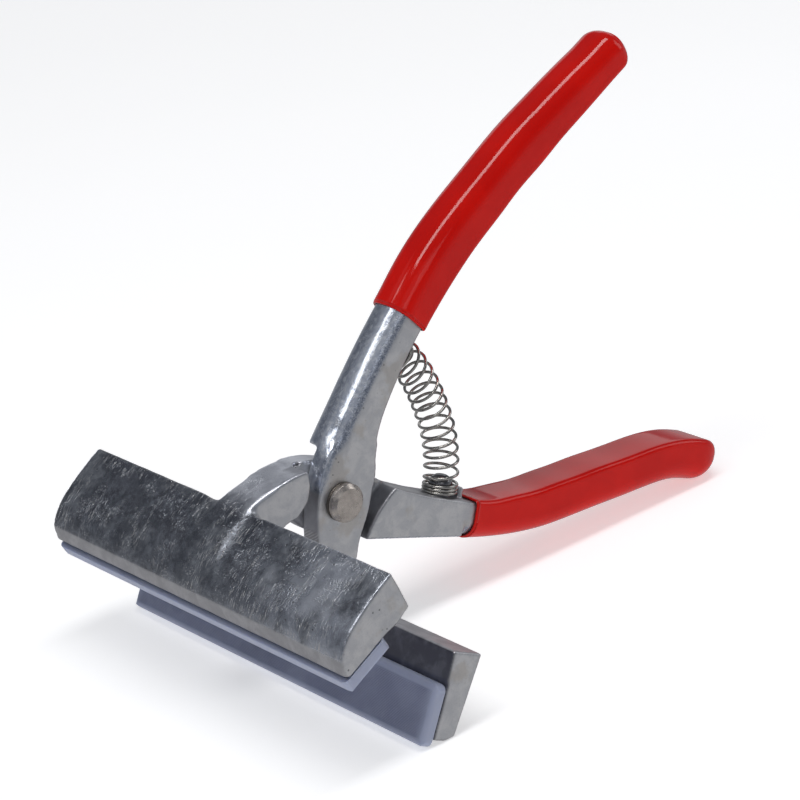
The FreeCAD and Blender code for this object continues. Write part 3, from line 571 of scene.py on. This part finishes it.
def build_lever(node, name, upper):
    ob = voxelled(node, name, VOX)
    me = ob.data
    co, ed = mesh_arrays(me)
    P = local(co)
    if upper:
        zone = smooth01(-P[:, 0], 20.0, 22.0) * smooth01(-np.abs(P[:, 2]), -17, -14)
        co = relax(co, ed, 60, 0.5, zone, me, outward=True)
        q = local(co)
        blend = zone * smooth01(-np.abs(q[:, 2]), -12.5, -9.5) * smooth01(np.abs(q[:, 2]), 3.0, 5.5) * (1 - smooth01(-q[:, 0], 34.0, 37.0)) * smooth01(-q[:, 0], 20.5, 23.0)
        co = relax(co, ed, 24, 0.5, blend)
    else:
        zone = smooth01(-P[:, 1], 20.5, 22.0) * smooth01(-np.abs(P[:, 2]), -16, -13)
        co = relax(co, ed, 40, 0.5, zone, me, outward=True)
        # the shank's rounded back runs on down the hub plate's front edge, dying out near the rivet
        q = local(co)
        soft = smooth01(q[:, 1], 1.0, 10.0) * (1 - smooth01(q[:, 1], 17.0, 21.0)) * smooth01(-q[:, 2], 1.0, 2.6) * (1 - smooth01(q[:, 0], -2.5, 1.0))
        co = relax(co, ed, 110, 0.5, soft)
    co = relax(co, ed, 3, 0.5)
    P = local(co)
    nor = vertex_normals(me, co)
    N = local_dir(nor)
    flat = smooth01(np.abs(N[:, 2]), 0.88, 0.97)
    u, v, w = P.T
    zero = np.zeros(len(P))
    if upper:
        inbar = smooth01(-u, 20.5, 22.5) * (1 - flat)
        outer = smooth01(-0.80 * N[:, 0] + 0.60 * N[:, 1], 0.30, 0.50)
        arm_zone = smooth01(-np.abs(w), -8.2, -6.0)
        lip = smooth01(-N[:, 1], 0.17, 0.34) * smooth01(-u, 34, 36)
        top = inbar * outer * (1 - lip)
        # painted sheen: marks the arm's upward-facing top for a lighter colour
        arm_top_painted_sheen = smooth01(-np.abs(w), -7.2, -6.0) * (1 - flat) * smooth01(u, -33.5, -24.0) * smooth01(N[:, 1], 0.0, 0.3) * (1 - smooth01(u, 0, 4)) * smooth01(v, -6, -1)
        top = np.maximum(top, (1 - flat) * (1 - smooth01(u, -12, -10)) * smooth01(N[:, 1], 0.0, 0.3) * arm_zone)
        inner = inbar * smooth01(0.68 * N[:, 0] - 0.73 * N[:, 1], 0.55, 0.75) * (1 - outer)
        # painted shade: the inner bar faces and the recess wall round the hub are marked to be coloured near-black as
        # their shadow
        painted_shade = np.maximum(inner * smooth01(-u, 21, 24), (1 - flat) * smooth01(-np.hypot(u, v), -17.5, -16.0) * (1 - smooth01(np.abs(w), 6.0, 6.4)) * smooth01(-w, -0.1, 0.4) * 0.55)
        rnd = (1 - flat) * smooth01(u, 8, 12) * smooth01(-N[:, 1], 0.0, 0.25)
        strip = zero
        mill = (1 - flat) * smooth01(-N[:, 1], 0.3, 0.5) * smooth01(-u, 9, 11) * smooth01(u, -22, -20)
        mott = rnd
    else:
        bar = smooth01(-v, 21.5, 22.6)
        inner_face = bar * smooth01(-N[:, 0], 0.55, 0.8) * (1 - flat)
        # painted shade: the lower bar's inner face, facing the other jaw, is marked to be coloured near-black as its
        # shadow
        painted_shade = inner_face
        rnd = (1 - flat) * smooth01(v, -1, 1) * smooth01(-N[:, 0], 0.05, 0.25)
        flatside = smooth01(np.abs(N[:, 2]), 0.90, 0.985)
        flat = np.where(v > 0, flatside, flat)
        rnd = (1 - flat) * smooth01(v, 1, 3) * smooth01(-N[:, 0], -0.1, 0.15)
        top = (1 - flat) * smooth01(N[:, 0], 0.2, 0.5) * smooth01(v, -1, 1) * 0.55
        arm_top_painted_sheen = zero
        mill = (1 - flat) * smooth01(-N[:, 0], 0.5, 0.7) * smooth01(-v, 7.5, 9.0) * smooth01(v, -21.5, -20.0)
        mott = smooth01(-N[:, 2], 0.66, 0.80) * (1 - smooth01(-N[:, 2], 0.985, 0.998)) * smooth01(v, 10, 16)
        strip = zero
    inv = 1 - flat
    # cast unevenness: long soft waves on the backs, faint on the flats
    sel = inv > 0.02
    wob = np.zeros(len(co))
    wob[sel] = fbm(P[sel], 0.22, 2, 3.1) * 0.055 + fbm(P[sel], 0.9, 2, 7.7) * 0.016
    wob *= inv * (1 - 0.6 * painted_shade) * (1 if upper else 0.30)
    if not upper:
        pitted = mott * rnd
        sel = pitted > 0.05
        q = np.zeros(len(co))
        q[sel] = fbm(P[sel], 1.35, 2, 1.3)
        wob += -0.035 * smooth01(q, 0.05, 0.55) * pitted
    else:
        # rough notch where the arm's crest meets the lap
        d = np.sqrt((u + 10.8) ** 2 + (v - 8.0) ** 2 + (np.clip(np.abs(w + 2.6) - 2.0, 0, None)) ** 2)
        notch = smooth01(-d, -1.9, -0.8) * smooth01(N[:, 1], 0.1, 0.5)
        wob += -1.1 * notch * (1 + 0.25 * np.sin(w * 5.1) * np.cos(u * 7.3))
        # painted shade: the notch's hollow is coloured near-black as well
        painted_shade = np.maximum(painted_shade, smooth01(notch, 0.0, 0.5))
        top = top * (1 - notch)
        # a few casting dimples on the bar's outer face
        for (du, dw, rr, dep) in ((-31.5, 31.0, 2.6, 0.10), (-36.5, -22.0, 1.4, 0.12), (-33.0, -35.0, 1.0, 0.12), (-30.0, 12.0, 1.6, 0.08),
                                  (-37.6, 44.0, 1.2, 0.10), (-35.5, -8.0, 2.2, 0.06), (-34.6, -40.5, 0.9, 0.15)):
            dd = np.hypot(u - du, w - dw)
            wob += -dep * smooth01(-dd, -rr, -rr * 0.3) * top
    co = co + nor * (wob / 1000)[:, None]
    co[:, 2] = np.maximum(co[:, 2], 0.0)
    nor = vertex_normals(me, co)
    wear = curvature_wear(co, ed, nor, 0.000040, 0.000085)
    near_grip = smooth01(u, 40, 46) if upper else smooth01(v, 42, 50)
    wear = wear * (1 - near_grip) * (0.35 + 0.65 * smooth01(fbm(P, 0.5, 2, 5.0), -0.35, 0.35))
    for k, val in (("z_flat", flat), ("z_top", top), ("z_round", rnd), ("z_painted_shade", painted_shade), ("z_strip", strip), ("z_arm", arm_top_painted_sheen), ("z_mill", mill), ("z_mottle", mott), ("wear", wear)):
        set_attr(me, k, np.clip(val, 0, 1))
    me.polygons.foreach_set("use_smooth", [True] * len(me.polygons))
    me.update()
    return ob


lever_low = build_lever("lower_jaw_lever", "lower_lever_casting", False)
put(lever_low, cast_metal("cast_metal_lower", (0.013, 0.027, 0.004)), "lower_jaw_side", "cast_metal", "lower_jaw_lever")
lever_up = build_lever("upper_jaw_lever", "upper_lever_casting", True)
put(lever_up, cast_metal("cast_metal_upper", (0.041, 0.009, 0.031)), "upper_jaw_side", "cast_metal", "upper_jaw_lever")

# ---------------------------------------------------------------- dipped grips
A_PALM = [(-7.35, 3.0), (-7.05, 7.0), (-6.45, 10.4), (-5.3, 13.8), (-0.9, 25.0), (3.7, 36.4), (9.5, 48.9),
          (15.4, 61.3), (20.5, 69.5), (25.9, 76.7), (31.4, 83.4), (36.9, 90.1), (42.5, 96.6), (48.3, 102.5),
          (54.2, 108.4), (60.2, 114.2), (64.0, 117.7)]
A_INNER = [(9.7, 3.0), (9.3, 10.0), (9.2, 16.9), (10.0, 22.9), (11.5, 27.9), (13.0, 31.9), (15.3, 38.0), (18.0, 43.8),
           (22.0, 51.4), (27.1, 60.0), (32.4, 67.7), (37.8, 74.6), (43.3, 81.8), (49.0, 88.1), (54.7, 94.9),
           (60.5, 101.2), (66.2, 107.4), (70.2, 111.8)]
B_PALM = [(36.0, -10.75), (42.0, -11.15), (46.0, -11.35), (52.5, -11.4), (59.6, -11.1), (66.8, -10.4), (74.0, -9.2),
          (81.2, -7.4), (88.3, -5.4), (95.5, -3.4), (102.9, -1.4), (114.0, 1.7), (121.6, 3.1), (129.3, 3.0)]
B_INNER = [(36.0, -0.55), (42.0, -1.3), (46.0, -1.7), (53.6, -1.75), (60.6, -0.7), (68.0, 0.55), (75.0, 2.4), (82.0, 4.2),
           (89.0, 6.2), (96.5, 8.1), (104.0, 10.1), (111.0, 12.0), (118.0, 13.4), (124.5, 13.95), (129.7, 13.75)]


def d_ring(width, thick, r_palm, r_in, n_palm=22, n_in=7, n_flat=9):
    """Points round a D section: x from palm (-) to inner side (+), y along the pivot."""
    r_in = max(min(r_in, thick / 2 - 0.05, width / 2), 0.02)
    r_palm = max(min(r_palm, thick / 2 - 0.02, width - r_in - 0.02), 0.02)
    x0, x1, y = -width / 2, width / 2, thick / 2
    pts = []

    def seg(a, b, n):
        for k in range(n):
            t = k / n
            pts.append((a[0] + (b[0] - a[0]) * t, a[1] + (b[1] - a[1]) * t))

    def arc(cx, cy, r, a0, n):
        for k in range(n):
            a = a0 + math.pi / 2 * k / n
            pts.append((cx + r * math.cos(a), cy + r * math.sin(a)))
    H = math.pi / 2
    seg((x0 + r_palm, -y), (x1 - r_in, -y), n_flat)
    arc(x1 - r_in, -y + r_in, r_in, -H, n_in)
    seg((x1, -y + r_in), (x1, y - r_in), n_flat + 2)
    arc(x1 - r_in, y - r_in, r_in, 0, n_in)
    seg((x1 - r_in, y), (x0 + r_palm, y), n_flat)
    arc(x0 + r_palm, y - r_palm, r_palm, H, n_palm)
    seg((x0, y - r_palm), (x0, -y + r_palm), 3)
    arc(x0 + r_palm, -y + r_palm, r_palm, 2 * H, n_palm)
    return np.array(pts)


def grip(name, palm, inner, palm_start, inner_start, straight, reach, shrink, r_in_of, crown_of, body, node):
    fp, np_ = spline(palm)
    fi, ni = spline(inner)
    tp, ti = np_(palm_start), ni(inner_start)
    n = 150
    ks = np.linspace(0, 1, n)
    P, Q = fp(tp + (1 - tp) * ks), fi(ti + (1 - ti) * ks)
    st = []
    for p, q in zip(P, Q):
        w = np.hypot(*(q - p))
        st.append(((p + q) / 2, (q - p) / w, w))
    (c1, e1, w1) = st[-1]
    f1 = np.array([-e1[1], e1[0]])
    if (c1 - st[-2][0]) @ f1 < 0:
        f1 = -f1
    wall = 0.8
    rings, rim_shade_tags = [], []

    def add(c, e, w, loss, grow, k, r_p, r_i, sink=0.0, rim_painted_shade=0.0, crown=0.0):
        ring = d_ring(max(w - loss + 2 * grow, 0.05), max(12.4 - loss + 2 * grow, 0.05), r_p, r_i)
        if crown:
            wid = max(12.4 + 2 * grow, 1)
            side = smooth01(ring[:, 0], (w - loss) / 2 - 1.5, (w - loss) / 2 + grow)
            ring[:, 0] += crown * side * (1 - (ring[:, 1] / (wid / 2)) ** 2)
        f = np.array([-e[1], e[0]])
        if f @ f1 < 0:
            f = -f
        pts = np.empty((len(ring), 3))
        pts[:, :2] = c + ring[:, :1] * e + f * sink
        pts[:, 2] = ring[:, 1]
        rings.append(pts)
        rim_shade_tags.append(rim_painted_shade)
    # rounded lip at the open end, from the inside out; the inner rings carry painted shade, coloured near-black as the
    # shadow inside the lip
    c0, e0, w0 = st[0]
    for sink, g, rim_painted_shade in ((2.2, 0.03, 1.0), (0.45, 0.03, 1.0), (0.12, 0.14, 1.0), (0.0, 0.34, 0.6), (0.0, 0.52, 0.25), (0.10, 0.70, 0.0), (0.32, 0.80, 0.0), (0.62, 0.86, 0.0)):
        k = 0.0
        add(c0, e0, w0, 0.0, g, k, 5.0 + g, max(r_in_of(0.0) - wall + g, 0.5), sink, rim_painted_shade)
    for i in range(1, n):
        k = ks[i]
        c, e, w = st[i]
        bead = 0.06 * math.exp(-((k * 92) / 2.2) ** 2)
        add(c, e, w, 0.0, wall + bead, k, 5.8, r_in_of(k), 0, 0, crown_of(k))
    for a in np.linspace(0, straight, 7)[1:] if straight > 0 else ():
        add(c1 + f1 * a, e1, w1, 0.0, wall, 1.0, 5.8, r_in_of(1.0), 0, 0, crown_of(1.0))
    c1 = c1 + f1 * straight
    for t in np.linspace(0.08, 0.985, 16):
        loss = shrink * (1 - math.sqrt(1 - t * t))
        add(c1 + f1 * reach * t, e1, w1, loss, wall, 1.0, max(5.8 - 0.15 * loss, 0.5), r_in_of(1.0) + 0.25 * loss, 0, 0, crown_of(1.0) * (1 - t))
    loss = shrink * (1 - math.sqrt(1 - 0.985 ** 2))
    wf, tf = w1 - loss + 1.6, 12.4 - loss + 1.6
    for t in (0.82, 0.6, 0.35, 0.12):
        ring = d_ring(wf * t, tf * t, 5.0 * t, 2.6 * t)
        pts = np.empty((len(ring), 3))
        pts[:, :2] = c1 + f1 * (reach * 0.985 + 0.16 * (1 - t * t) - 0.1) + ring[:, :1] * e1
        pts[:, 2] = ring[:, 1]
        rings.append(pts); rim_shade_tags.append(0.0)
    m_ = len(rings[0])
    V = np.concatenate(rings + [np.r_[c1 + f1 * (reach * 0.985 + 0.07), 0.0][None, :]])
    F = tube_faces(len(rings), m_)
    tip = len(V) - 1
    last = (len(rings) - 1) * m_
    for j in range(m_):
        F.append((last + j, last + (j + 1) % m_, tip))
    ob = new_mesh(name, row(V), F)
    # a short inner tube hides inside the metal; its open end is closed
    me = ob.data
    import bmesh
    bm = bmesh.new(); bm.from_mesh(me); bm.verts.ensure_lookup_table()
    bm.faces.new([bm.verts[j] for j in range(m_)][::-1])
    bmesh.ops.recalc_face_normals(bm, faces=bm.faces)
    bm.to_mesh(me); bm.free()
    set_attr(me, "rim_painted_shade", np.r_[np.repeat(rim_shade_tags, m_), 0.0])
    return put(ob, red_vinyl(name + "_vinyl", (0.01 * len(name), 0.02, 0.03)), body, "red_vinyl", node)


upper_grip = grip("upper_grip_dip", A_PALM, A_INNER, (9.5, 48.9), (18.3, 43.8), 4.9, 4.3, 6.4,
                  lambda k: 1.5, lambda k: 0.0, "lower_jaw_side", "upper_grip")
lower_grip = grip("lower_grip_dip", B_PALM, B_INNER, (46.0, -11.35), (46.0, -1.7), 0.0, 8.3, 9.4,
                  lambda k: 1.5, lambda k: 0.0, "upper_jaw_side", "lower_grip")

# ---------------------------------------------------------------- jaw pads
def on_face(direction_deg, along, off):
    a = math.radians(direction_deg)
    return (along * math.cos(a) + off * math.sin(a), along * math.sin(a) - off * math.cos(a))


def jaw_pad(name, direction, rear, front, face, bed, body, node, seed):
    pitch, deep, r = 0.34, 0.055, 1.5
    s = 1.0 if face < bed else -1.0       # from the face into the bed
    prof, groove_painted_shade, edge_painted_highlight = [], [], []

    def add(a, o, g=0.0, e=0.0):
        prof.append((a, o)); groove_painted_shade.append(g); edge_painted_highlight.append(e)
    for k in range(9):                     # rear rounded corner
        t = math.pi / 2 * k / 8
        add(rear + r - r * math.cos(t), face + s * (r - r * math.sin(t)), 0, 1.0 - 0.4 * k / 8)
    x0, x1 = rear + r + 0.25, front - r - 0.25
    nr = int((x1 - x0) / pitch)
    for i in range(nr):
        for q, dep in ((0.0, 0.0), (0.22, 0.0), (0.38, 0.75), (0.5, 1.0), (0.62, 1.0), (0.76, 0.6), (0.9, 0.0)):
            ramp = min(1.0, min(i, nr - 1 - i) / 1.0 + 0.4)
            add(x0 + (i + q) * (x1 - x0) / nr, face + s * deep * dep * ramp, dep, 0.0)
    for k in range(9):
        t = math.pi / 2 * (1 - k / 8)
        add(front - r + r * math.cos(t), face + s * (r - r * math.sin(t)), 0, 0.6 + 0.4 * k / 8)
    for k in range(1, 6):
        add(front, face + s * (r + (abs(bed - face) - r - 0.25) * k / 6), 0, 1.0)
    add(front, bed - s * 0.25, 0, 1.0); add(front - 0.08, bed - s * 0.07, 0, 1.0); add(front - 0.25, bed, 0, 0.5)
    for k in range(1, 8):
        add(front - 0.25 + (rear + 0.25 - front + 0.25) * k / 8, bed, 0, 0)
    add(rear + 0.25, bed, 0, 0.5); add(rear + 0.08, bed - s * 0.07, 0, 1.0); add(rear, bed - s * 0.25, 0, 1.0)
    for k in range(1, 6):
        add(rear, bed - s * (0.25 + (abs(bed - face) - r - 0.25) * k / 6), 0, 1.0)
    prof = np.array(prof)
    half = 59.7
    ends = [0.0, 0.03, 0.1, 0.2, 0.35, 0.55, 0.8, 1.1, 1.6]
    ws = [-half + d for d in ends] + list(np.linspace(-half + 3, half - 3, 61)) + [half - d for d in reversed(ends)]
    rings, edge_highlight_rings = [], []
    for w in ws:
        d = half - abs(w)
        e = r - math.sqrt(max(r * r - (r - d) ** 2, 0)) if d < r else 0.0
        r2 = 1.8
        e2 = r2 - math.sqrt(max(r2 * r2 - (r2 - d) ** 2, 0)) if d < r2 else 0.0
        q = prof.copy()
        lim = face + s * e
        q[:, 1] = np.maximum(q[:, 1], lim) if s > 0 else np.minimum(q[:, 1], lim)
        q[:, 0] = np.clip(q[:, 0], rear + e2, front - e2)
        wave = 0.05 * math.sin(w * 0.11 + seed) + 0.03 * math.sin(w * 0.31 + 2 * seed)
        facing = np.clip(1 - np.abs(q[:, 1] - face) / 1.5, 0, 1)
        q[:, 1] += s * abs(wave) * facing
        P = np.array([on_face(direction, a, o) for a, o in q])
        rings.append(np.c_[P, np.full(len(P), w)])
        # the last 2.4 mm at each end also get the painted highlight
        near = 1.0 - min(1.0, d / 2.4)
        edge_highlight_rings.append(np.maximum(np.array(edge_painted_highlight), near))
    V = np.concatenate(rings)
    m_ = len(prof)
    F = tube_faces(len(rings), m_)
    F.append(tuple(range(m_))[::-1])
    F.append(tuple(len(V) - m_ + j for j in range(m_)))
    ob = new_mesh(name, row(V), F, 40)
    fixed = ob.data
    # per-point weights of the painted highlight on edges, faces and ends
    set_attr(fixed, "edge_painted_highlight", np.concatenate(edge_highlight_rings))
    # per-point weights of the painted shade in the rib grooves
    set_attr(fixed, "groove_painted_shade", np.tile(groove_painted_shade, len(rings)) * np.repeat([min(1.0, max(0.0, (half - abs(w) - 1.0) / 1.5)) for w in ws], m_))
    import bmesh
    bm = bmesh.new(); bm.from_mesh(fixed)
    bmesh.ops.recalc_face_normals(bm, faces=bm.faces)
    bm.to_mesh(fixed); bm.free()
    put(ob, pad_vinyl(name + "_vinyl", (0.02 * seed, 0.01, 0.0)), body, "pad_vinyl", node)
    return ob


jaw_pad("upper_pad_ribbed", 227.33, 31.4, 46.0, 4.20, 8.20, "upper_jaw_side", "upper_jaw_pad", 1.0)
jaw_pad("lower_pad_ribbed", 261.90, 31.4, 46.9, 4.10, 0.90, "lower_jaw_side", "lower_jaw_pad", 2.3)

# adhesive films keep their CAD shape; their near-black colour is partly the film's own and partly painted shade for the
# gap line between pad and jaw
FILM_GAP_SHADOW = film_black_gap_shadow("adhesive_film_gap_shadow", (0.0, 0.0, 0.0))
for n in ("upper_pad_adhesive", "lower_pad_adhesive"):
    NODES[n].data.materials.clear()
    NODES[n].data.materials.append(FILM_GAP_SHADOW)

# ---------------------------------------------------------------- rivet, washers, studs
HT = 6.2
RIVET_MAT = nickel("rivet_nickel", (0.0, 0.0, 0.0), (0.72, 0.655, 0.60), (0.22, 0.36))
WASHER_MAT = nickel("washer_nickel", (0.02, 0.0, 0.0), (0.20, 0.18, 0.16), (0.22, 0.38))
y1, y2 = -HT - 0.8, HT + 0.05 + 0.8
pts = [(0, y1 - 2.33), (2.0, y1 - 2.35), (4.05, y1 - 2.4), (5.05, y1 - 1.4), (5.05, y1 - 0.35), (4.70, y1), (3.0, y1), (3.0, y2), (4.6, y2), (4.6, y2 + 0.5), (3.31, y2 + 1.43), (1.38, y2 + 1.7), (0, y2 + 1.7)]
rad = [0, 0, 0.10, 0.12, 0.15, 0.12, 0, 0, 0.12, 0.25, 0.8, 0.5, 0]
prof = corner_round(pts, rad, 5)
rivet = lathe("rivet_turned", prof, (0, 0, 0), (0, 0, 1), (1, 0, 0), 96, 26)
put(rivet, RIVET_MAT, "lower_jaw_side", "rivet_nickel", "pivot_rivet")


def washer(name, ya, body, node):
    r0, r1, t = 3.05, 5.1, 0.8
    ring = corner_round([(r0 + 0.5, ya), (r1, ya), (r1, ya + t), (r0, ya + t), (r0, ya), (r0 + 0.5, ya)], [0, 0.22, 0.22, 0.1, 0.1, 0], 4)
    ob = lathe(name, ring, (0, 0, 0), (0, 0, 1), (1, 0, 0), 80, 60)
    return put(ob, WASHER_MAT, body, "rivet_nickel", node)


washer("front_washer_turned", -HT - 0.8, "lower_jaw_side", "front_rivet_washer")
washer("back_washer_turned", HT + 0.05, "lower_jaw_side", "back_rivet_washer")

STUD_MAT = nickel("stud_steel", (0.05, 0.0, 0.0), (0.30, 0.30, 0.31), (0.12, 0.26))
R = 38.0
A0, A1 = math.radians(-1.2), math.radians(68.4)
BOW0 = math.radians(36.0)


def arc_at(a):
    """The coil's centre line: an arc about the pivot that bows out near its head."""
    return R + 2.9 * (np.maximum(0.0, np.asarray(a, float) - BOW0) / (A1 - BOW0)) ** 1.4


def stud(name, ang, sign, body, node):
    ra = float(arc_at(ang))
    at = (ra * math.cos(ang), ra * math.sin(ang), 0)
    ax = (-math.sin(ang) * sign, math.cos(ang) * sign, 0)
    r, tall, rs, ls = 3.2, 5.6, 1.6, 4.0
    dome = r * 0.85
    prof = [(0, -ls + 0.2), (rs, -ls + 0.2), (rs, 0), (r, 0), (r, tall - dome)]
    for k in range(1, 13):
        a = math.pi / 2 * k / 12
        prof.append((r - dome + dome * math.cos(a), tall - dome + dome * math.sin(a)))
    prof.append((0, tall))
    ob = lathe(name, prof, at, ax, (0, 0, 1), 64, 40)
    return put(ob, STUD_MAT, body, "stud_steel", node)


stud("lower_stud_turned", A0, 1.0, "upper_jaw_side", "lower_spring_stud")
stud("upper_stud_turned", A1, -1.0, "lower_jaw_side", "upper_spring_stud")

# ---------------------------------------------------------------- return spring
def coil():
    r, wr, turns = 4.4, 0.4, 17.0
    L = R * (A1 - A0)
    tight = R / (R - r)
    shut = 2 * wr * tight + 0.04
    n_low, n_high = 3.0, 1.2
    s0, s1 = (wr + 0.02) * tight, L - (wr + 0.02) * tight
    per = 40
    nt = int(turns * per)
    t = np.linspace(0, turns, nt + 1)
    lo, hi = s0 + shut * n_low, s1 - shut * n_high
    f = np.clip((t - n_low) / (turns - n_low - n_high), 0, 1)
    # the open turns are a touch uneven, as a wound spring is
    f = f + 0.0045 * np.sin(2 * math.pi * f * 2.5) * np.sin(math.pi * f)
    s = np.where(t < n_low, s0 + shut * t, np.where(t > turns - n_high, s1 - shut * (turns - t), lo + (hi - lo) * f))
    ph = 2 * math.pi * t
    a = A0 + s / R
    mid_r = arc_at(a)
    rad = mid_r + r * np.cos(ph)
    C = np.stack([rad * np.cos(a), rad * np.sin(a), r * np.sin(ph)], -1)
    T = np.gradient(C, axis=0)
    T /= np.linalg.norm(T, axis=1)[:, None]
    centre = np.stack([mid_r * np.cos(a), mid_r * np.sin(a), 0 * a], -1)
    E = C - centre
    E -= T * (E * T).sum(1)[:, None]
    E /= np.linalg.norm(E, axis=1)[:, None]
    B = np.cross(T, E)
    m_ = 14
    rings = []
    for k in range(len(C)):
        ang = 2 * math.pi * np.arange(m_) / m_
        rings.append(C[k] + wr * (np.cos(ang)[:, None] * E[k] + np.sin(ang)[:, None] * B[k]))

    def cap(k, sgn):
        out = []
        for rr, ah in ((0.34, 0.05), (0.20, 0.08)):
            ang = 2 * math.pi * np.arange(m_) / m_
            out.append(C[k] + sgn * T[k] * ah + rr * (np.cos(ang)[:, None] * E[k] + np.sin(ang)[:, None] * B[k]))
        return out
    allr = cap(0, -1)[::-1] + rings + cap(-1, 1)
    V = np.concatenate(allr)
    F = tube_faces(len(allr), m_)
    F.append(tuple(range(m_))[::-1])
    F.append(tuple(len(V) - m_ + j for j in range(m_)))
    ob = new_mesh("return_spring_coil", row(V), F)
    fix_normals(ob)
    return ob


spring = coil()
put(spring, nickel("spring_wire", (0.07, 0.0, 0.0), (0.62, 0.60, 0.56), (0.12, 0.22)), None, "spring_wire", "return_spring")
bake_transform(spring)

# ---------------------------------------------------------------- floor, world, lights
fl = new_mesh("floor", [(-12, -12, -0.00002), (12, -12, -0.00002), (12, 12, -0.00002), (-12, 12, -0.00002)], [(0, 1, 2, 3)], ground=True)
F = Mat("floor_pale")
fc = F.mix(F.ramp(F.noise(3.0, 3, 0.5), 0.3, 0.7), (0.86, 0.86, 0.86), (0.88, 0.88, 0.88))
F.set(Base_Color=fc, Roughness=0.9)
F.b.inputs["Specular IOR Level"].default_value = 0.1
F.b.inputs["Emission Color"].default_value = (1, 1, 1, 1)
F.b.inputs["Emission Strength"].default_value = 0.48
fl.data.materials.append(F.m)
fl.visible_glossy = False

world = bpy.data.worlds.new("studio")
bpy.context.scene.world = world
world.use_nodes = True
wt = world.node_tree
wt.nodes.clear()
wo = wt.nodes.new("ShaderNodeOutputWorld")
bg = wt.nodes.new("ShaderNodeBackground")
tc = wt.nodes.new("ShaderNodeTexCoord")
sx = wt.nodes.new("ShaderNodeSeparateXYZ")
cr = wt.nodes.new("ShaderNodeValToRGB")
wt.links.new(tc.outputs["Generated"], sx.inputs[0])
mr = wt.nodes.new("ShaderNodeMapRange")
mr.inputs["From Min"].default_value = -1.0
wt.links.new(sx.outputs["Z"], mr.inputs["Value"])
wt.links.new(mr.outputs["Result"], cr.inputs[0])
wt.links.new(cr.outputs[0], bg.inputs[0])
wt.links.new(bg.outputs[0], wo.inputs[0])
el = cr.color_ramp.elements
el[0].position, el[0].color = 0.0, (0.36, 0.36, 0.37, 1)
el[1].position, el[1].color = 1.0, (0.16, 0.165, 0.18, 1)
# positions: 0 straight down, 0.5 the horizon, 1 straight up
for pos, c in ((0.31, (0.385, 0.385, 0.395)), (0.48, (0.33, 0.335, 0.35)), (0.56, (0.17, 0.18, 0.20)), (0.725, (0.085, 0.092, 0.112)),
               (0.83, (0.115, 0.125, 0.145)), (0.92, (0.15, 0.155, 0.17))):
    e = cr.color_ramp.elements.new(pos)
    e.color = (*c, 1)
bg.inputs[1].default_value = 1.0


def area(name, pos, target, sx_, sy_, power, color=(1, 1, 1)):
    ld = bpy.data.lights.new(name, "AREA")
    ld.shape = "RECTANGLE"
    ld.size, ld.size_y = sx_, sy_
    ld.energy = power
    ld.color = color
    ob = bpy.data.objects.new(name, ld)
    bpy.context.scene.collection.objects.link(ob)
    ob.location = pos
    d = Vector(target) - Vector(pos)
    ob.rotation_euler = d.to_track_quat("-Z", "Y").to_euler()
    return ob


def strip(name, direction, distance, along, long, wide, radiance, color=(1, 1, 1)):
    """Strip softbox seen from the tool in a given direction, its long side along a given direction."""
    d = Vector(direction).normalized()
    ob = area(name, tuple(Vector((-0.02, 0, 0.08)) + d * distance), (-0.02, 0, 0.08), long, wide, math.pi * long * wide * radiance, color)
    x = Vector(along) - d * d.dot(Vector(along))
    x.normalize()
    y = d.cross(x)
    ob.rotation_euler = Matrix((x, y, d)).transposed().to_euler()
    return ob


strip("overhead_strip", (-0.08, -0.10, 0.98), 1.3, (1, 0, 0), 1.3, 0.30, 7.0)
strip("shank_strip", (-0.68, 0.08, 0.72), 1.0, (0.18, 0.46, 0.10), 0.6, 0.11, 3.6)
strip("front_left_panel", (-0.55, -0.62, 0.56), 1.3, (0.75, -0.66, 0), 0.9, 0.6, 0.22)
strip("back_left_panel", (-0.60, 0.50, 0.62), 1.3, (0.64, 0.77, 0), 0.8, 0.45, 0.20)
strip("back_panel", (0.61, 0.74, 0.29), 1.3, (0.77, -0.64, 0), 1.1, 0.5, 0.5)
area("right_softbox", (1.2, -0.5, 0.7), (0, 0, 0.06), 0.6, 0.8, 1.8)
area("camera_side_softbox", (-0.35, -1.25, 0.9), (0, 0, 0.05), 0.5, 0.35, 0.4)

bpy.context.scene.view_settings.view_transform = "Standard"
